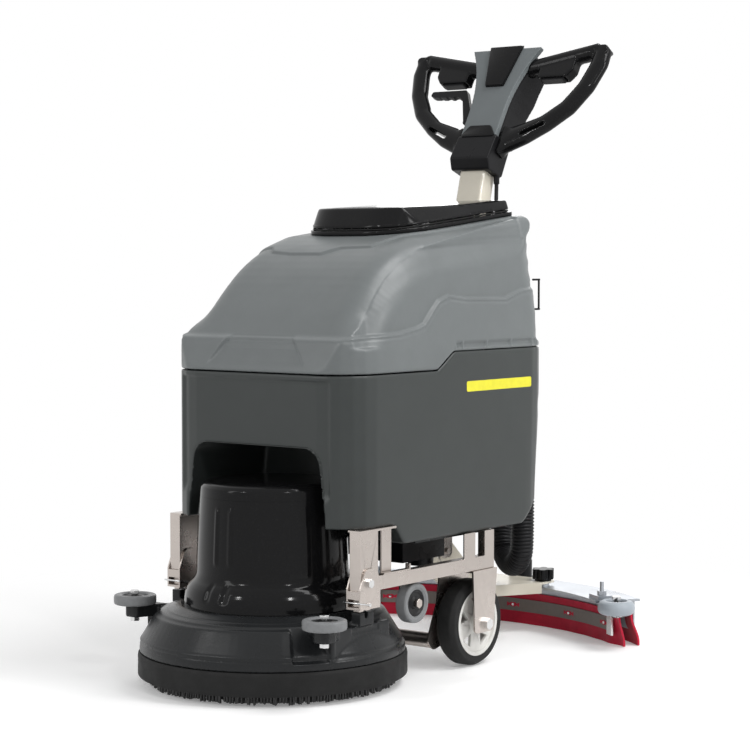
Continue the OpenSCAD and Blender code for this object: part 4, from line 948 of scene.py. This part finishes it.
def make_wheels():
    """Bumper wheels, guard rollers and squeegee end wheels, each a tyre on a black hub."""
    for side, s in (("left", 1), ("right", -1)):
        node = "bumper_wheel_" + side
        base = (s * BUMPER_AT[0], *BUMPER_AT[1:])
        turned(node + "_tyre", [(23, 1.2), (25, 0), (34, 0), (37.4, 1.4), (38.2, 4.5), (38.2, 13.5),
                                (37.4, 16.6), (34, 18), (27, 18), (25.5, 17), (23, 15.8)],
               "grey_rubber", nodes[node]["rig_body"], base, "z", [node], 96)
        turned(node + "_hub", [(5.2, 2.5), (23.6, 2.5), (23.6, 14.6), (17, 14.6), (14, 16.6),
                               (5.2, 16.6)],
               "dark_hub", nodes[node]["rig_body"], base, "z")
        node = "roller_" + side
        axis = "x" if s > 0 else "-x"
        base = (s * ROLLER_AT[0], *ROLLER_AT[1:])
        turned(node + "_tyre", [(24, 1), (26, 0), (33, 0), (35.6, 2), (36, 6), (36, 17), (35.6, 21),
                                (33, 23), (28, 23), (26.5, 21.6), (24, 21)],
               "grey_rubber", nodes[node]["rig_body"], base, axis, [node], 96)
        turned(node + "_hub", [(6.2, 1), (24.6, 1), (24.6, 19.5), (21, 20.5), (18.5, 18), (12, 17.2),
                               (10, 20.6), (6.2, 20.6)],
               "dark_hub", nodes[node]["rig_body"], base, axis)
        node = "end_wheel_" + side
        base = (s * END_WHEEL_REACH * math.sin(END_WHEEL_ANGLE),
                ARC_Y + END_WHEEL_REACH * math.cos(END_WHEEL_ANGLE), 67)
        turned(node + "_tyre", [(19, 3), (21, 0.8), (27, 0), (33.4, 3.6), (36, 10), (36, 17),
                                (33, 24), (27, 27.4), (22, 27.6), (20, 25.5), (19, 23)],
               "blue_grey", nodes[node]["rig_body"], base, "z", [node], 96, 3.0)
        turned(node + "_hub", [(5.2, 3), (19.4, 3), (19.4, 21), (14.6, 21), (13, 16), (8.6, 16),
                               (7.4, 24.5), (5.2, 24.5)],
               "dark_hub", nodes[node]["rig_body"], base, "z")


# ---------------------------------------------------------------- squeegee

# Inner radius of each blade on the arc, the rubber's thickness and its top edge.
FRONT_BLADE = 516
REAR_BLADE = 562
BLADE = 4
BLADE_TOP = 66
# How far the top of the rear blade is drawn forward at its ends.
PINCH = 16


def arc_piece(name, radii, limits, slot, stands_for=(), bend=None, parts=120):
    """A strip bent round the squeegee's arc: an (r, z) outline swept from -limit to limit degrees."""
    bm = bmesh.new()
    rings = []
    for k in range(parts + 1):
        share = 2 * k / parts - 1
        ring = []
        for r, z in radii:
            a = math.radians(limits * share)
            if bend:
                r, z = bend(r, z, abs(share) * limits)
            ring.append(bm.verts.new(Vector((r * math.sin(a), ARC_Y + r * math.cos(a), z)) * MM))
        rings.append(ring)
    skin(bm, rings)
    new_piece(name, finish_mesh(bm, name, 40), slot, "squeegee", stands_for)


def blade_outline(r, t, low, high):
    """Section of a blade, with points down both faces so that it can bend."""
    out = [(r, low + (high - low) * k / 12) for k in range(13)]
    return out + [(r + t, z) for r, z in reversed(out)]


def front_bend(r, z, degrees):
    """The front blade turns outward near its ends, most at the foot."""
    lift = ramp(degrees, 32.5, 38) * (1 - ramp(z, 4, 62))
    wave = 0.6 * math.sin(degrees * 0.9) * (1 - ramp(z, 0, 26))
    return r + 11 * lift + wave, z


def pinch(z, degrees):
    """Share of the rear blade's pinch at a height and angle, in mm."""
    return PINCH * ramp(degrees, 29, 37) * ramp(z, 6, 60)


def rear_bend(r, z, degrees):
    """The rear blade is pinched at its ends, with a slight wave along its foot."""
    wave = 0.4 * math.sin(degrees * 0.7 + 1) * (1 - ramp(z, 0, 26))
    return r - pinch(z, degrees) - wave - 0.8, z


def strap_bend(r, z, degrees):
    """The rear strap follows the pinched ends of its blade."""
    return r - pinch(z, degrees) - 0.4, z


def strap_outline(inner, outer):
    """Section of a strap between two radii."""
    low, high = 26.2, 52.0
    return [(inner, low), (outer, low), (outer, high), (inner, high)]


def make_squeegee():
    """Both rubber blades with the straps that clamp them."""
    arc_piece("rubber_blade_front", blade_outline(FRONT_BLADE, BLADE, 1, BLADE_TOP), 38, "red_rubber",
              ["front_blade"], front_bend)
    arc_piece("rubber_blade_rear", blade_outline(REAR_BLADE, BLADE, 0.2, BLADE_TOP), 36.9, "red_rubber",
              ["rear_blade"], rear_bend)
    arc_piece("blade_strap_front", strap_outline(FRONT_BLADE - 2.4, FRONT_BLADE - 0.2), 34.6, "strap",
              ["blade_straps"])
    arc_piece("blade_strap_rear", strap_outline(REAR_BLADE + BLADE + 0.2, REAR_BLADE + BLADE + 2.3), 33.4,
              "strap", (), strap_bend)
    for at in (-31, -17, 0, 17, 31):
        slot_mark(at)


def slot_mark(degrees):
    """A long hole of the front strap that shows red rubber, and its screw."""
    a = math.radians(degrees)
    out = Vector((math.sin(a), math.cos(a), 0))
    across = Vector((math.cos(a), -math.sin(a), 0))
    centre = Vector((0, ARC_Y, 39)) + out * (FRONT_BLADE - 2.9)
    bm = bmesh.new()
    outline = [(-15, 4.6), (-9, 1.6), (-5, 4.4), (5, 4.4), (9, 1.6), (15, 4.6), (15, -4.6), (9, -1.6),
               (5, -4.4), (-5, -4.4), (-9, -1.6), (-15, -4.6)]
    skin(bm, [[bm.verts.new((centre + across * u + Vector((0, 0, v)) + out * depth) * MM)
               for u, v in outline] for depth in (0.0, 1.4)])
    name = "strap_hole_%d" % round(degrees * 10 + 1000)
    new_piece(name, finish_mesh(bm, name, 30), "red_rubber", "squeegee")
    profile = [(0.02, 0), (3.2, 0), (3.2, 1.2), (2.4, 2.2), (0.02, 2.6)]
    bm = scaled(lathe(profile, 24))
    bmesh.ops.transform(bm, verts=bm.verts,
                        matrix=(-out).to_track_quat("Z", "Y").to_matrix().to_4x4())
    bmesh.ops.translate(bm, vec=(centre + out * 0.4) * MM, verts=bm.verts)
    name = "strap_screw_%d" % round(degrees * 10 + 1000)
    new_piece(name, finish_mesh(bm, name, 40), "bright_steel", "squeegee")


# ---------------------------------------------------------------- stage and light


def make_stage():
    """White floor that keeps the shadow near the machine and is plain white further out."""
    bm = bmesh.new()
    bmesh.ops.create_grid(bm, x_segments=1, y_segments=1, size=30)
    mesh = bpy.data.meshes.new("floor")
    bm.to_mesh(mesh)
    bm.free()
    floor = bpy.data.objects.new("floor", mesh)
    floor.location = (0, 0, -0.0006)
    bpy.context.scene.collection.objects.link(floor)
    look = Look("floor_white", (0.88, 0.88, 0.88), 0.7)
    look.tint(look.spread(look.noise(3, 3), 0.0, 0.3), (0.86, 0.86, 0.86))
    tree = look.tree
    away = look.add("ShaderNodeVectorMath", {0: look.place, 1: (0.05, 0.30, 0)}, operation="DISTANCE")
    far = look.spread(away.outputs["Value"], 0.0, 1.0, 0.75, 1.35)
    path = look.add("ShaderNodeLightPath")
    seen = look.add("ShaderNodeMath", {0: path.outputs["Is Camera Ray"],
                                       1: path.outputs["Is Glossy Ray"]}, operation="MAXIMUM").outputs[0]
    clear = look.add("ShaderNodeMath", {0: far, 1: seen}, operation="MULTIPLY").outputs[0]
    glow = look.add("ShaderNodeEmission", {"Color": (1, 1, 1, 1), "Strength": 0.22})
    lift = look.add("ShaderNodeMixShader", {0: seen})
    none = look.add("ShaderNodeEmission", {"Color": (0, 0, 0, 1), "Strength": 0.0})
    tree.links.new(none.outputs[0], lift.inputs[1])
    tree.links.new(glow.outputs[0], lift.inputs[2])
    near = look.add("ShaderNodeAddShader")
    tree.links.new(look.shader.outputs[0], near.inputs[0])
    tree.links.new(lift.outputs[0], near.inputs[1])
    white = look.add("ShaderNodeEmission", {"Color": (1, 1, 1, 1), "Strength": 1.0})
    out = look.add("ShaderNodeMixShader", {0: clear})
    tree.links.new(near.outputs[0], out.inputs[1])
    tree.links.new(white.outputs[0], out.inputs[2])
    tree.links.new(out.outputs[0], tree.nodes["Material Output"].inputs["Surface"])
    mesh.materials.append(look.material)


def make_world():
    """White to the camera and in reflections, and a softer fill on the object."""
    world = bpy.data.worlds.new("studio")
    bpy.context.scene.world = world
    world.use_nodes = True
    tree = world.node_tree
    tree.nodes.clear()
    path = tree.nodes.new("ShaderNodeLightPath")
    seen = tree.nodes.new("ShaderNodeMath")
    seen.operation = "MAXIMUM"
    tree.links.new(path.outputs["Is Camera Ray"], seen.inputs[0])
    tree.links.new(path.outputs["Is Transmission Ray"], seen.inputs[1])
    shiny = tree.nodes.new("ShaderNodeMath")
    shiny.operation = "MAXIMUM"
    tree.links.new(seen.outputs[0], shiny.inputs[0])
    tree.links.new(path.outputs["Is Glossy Ray"], shiny.inputs[1])
    white = tree.nodes.new("ShaderNodeBackground")
    white.inputs["Strength"].default_value = 1.0
    white.inputs["Color"].default_value = (1, 1, 1, 1)
    soft = tree.nodes.new("ShaderNodeBackground")
    soft.inputs["Strength"].default_value = 0.42
    soft.inputs["Color"].default_value = (1, 1, 1, 1)
    mix = tree.nodes.new("ShaderNodeMixShader")
    out = tree.nodes.new("ShaderNodeOutputWorld")
    tree.links.new(shiny.outputs[0], mix.inputs[0])
    tree.links.new(soft.outputs[0], mix.inputs[1])
    tree.links.new(white.outputs[0], mix.inputs[2])
    tree.links.new(mix.outputs[0], out.inputs[0])


def lamp(name, place, target, size, power):
    """A rectangular soft lamp at a place, turned to a target."""
    data = bpy.data.lights.new(name, "AREA")
    data.shape = "RECTANGLE"
    data.size, data.size_y = size
    data.energy = power
    thing = bpy.data.objects.new(name, data)
    thing.location = place
    thing.rotation_euler = (Vector(target) - Vector(place)).to_track_quat("-Z", "Y").to_euler()
    bpy.context.scene.collection.objects.link(thing)


def make_lights():
    """Four soft lamps round the machine, and two small square ones for crisp highlights."""
    lamp("key", (-1.5, -2.6, 1.7), (0, 0.1, 0.4), (0.45, 1.9), 13)
    lamp("side", (3.1, 0.9, 1.9), (0.1, 0.3, 0.5), (0.5, 1.4), 27)
    lamp("top", (1.5, 0.9, 2.9), (0, 0.3, 0.5), (1.3, 1.3), 46)
    lamp("back", (-1.2, 3.0, 1.8), (0, 0.4, 0.5), (1.6, 1.6), 20)
    lamp("square_left", (-0.5, -3.0, 2.2), (0, 0, 0.5), (0.26, 0.26), 15)
    lamp("square_right", (2.9, -1.3, 2.4), (0, 0, 0.5), (0.26, 0.26), 15)


# ---------------------------------------------------------------- the scene

make_camera()
make_hose()
make_cable()
make_recovery_tank()
make_solution_tank()
make_lid()
make_head()
make_motor_cover()
make_deck()
make_springs()
make_bristles()
make_wheels()
make_squeegee()
for each in nodes:
    if not nodes[each].hide_render:
        dress(each)
make_stage()
make_world()
make_lights()

scene = bpy.context.scene
scene.view_settings.view_transform = "Standard"
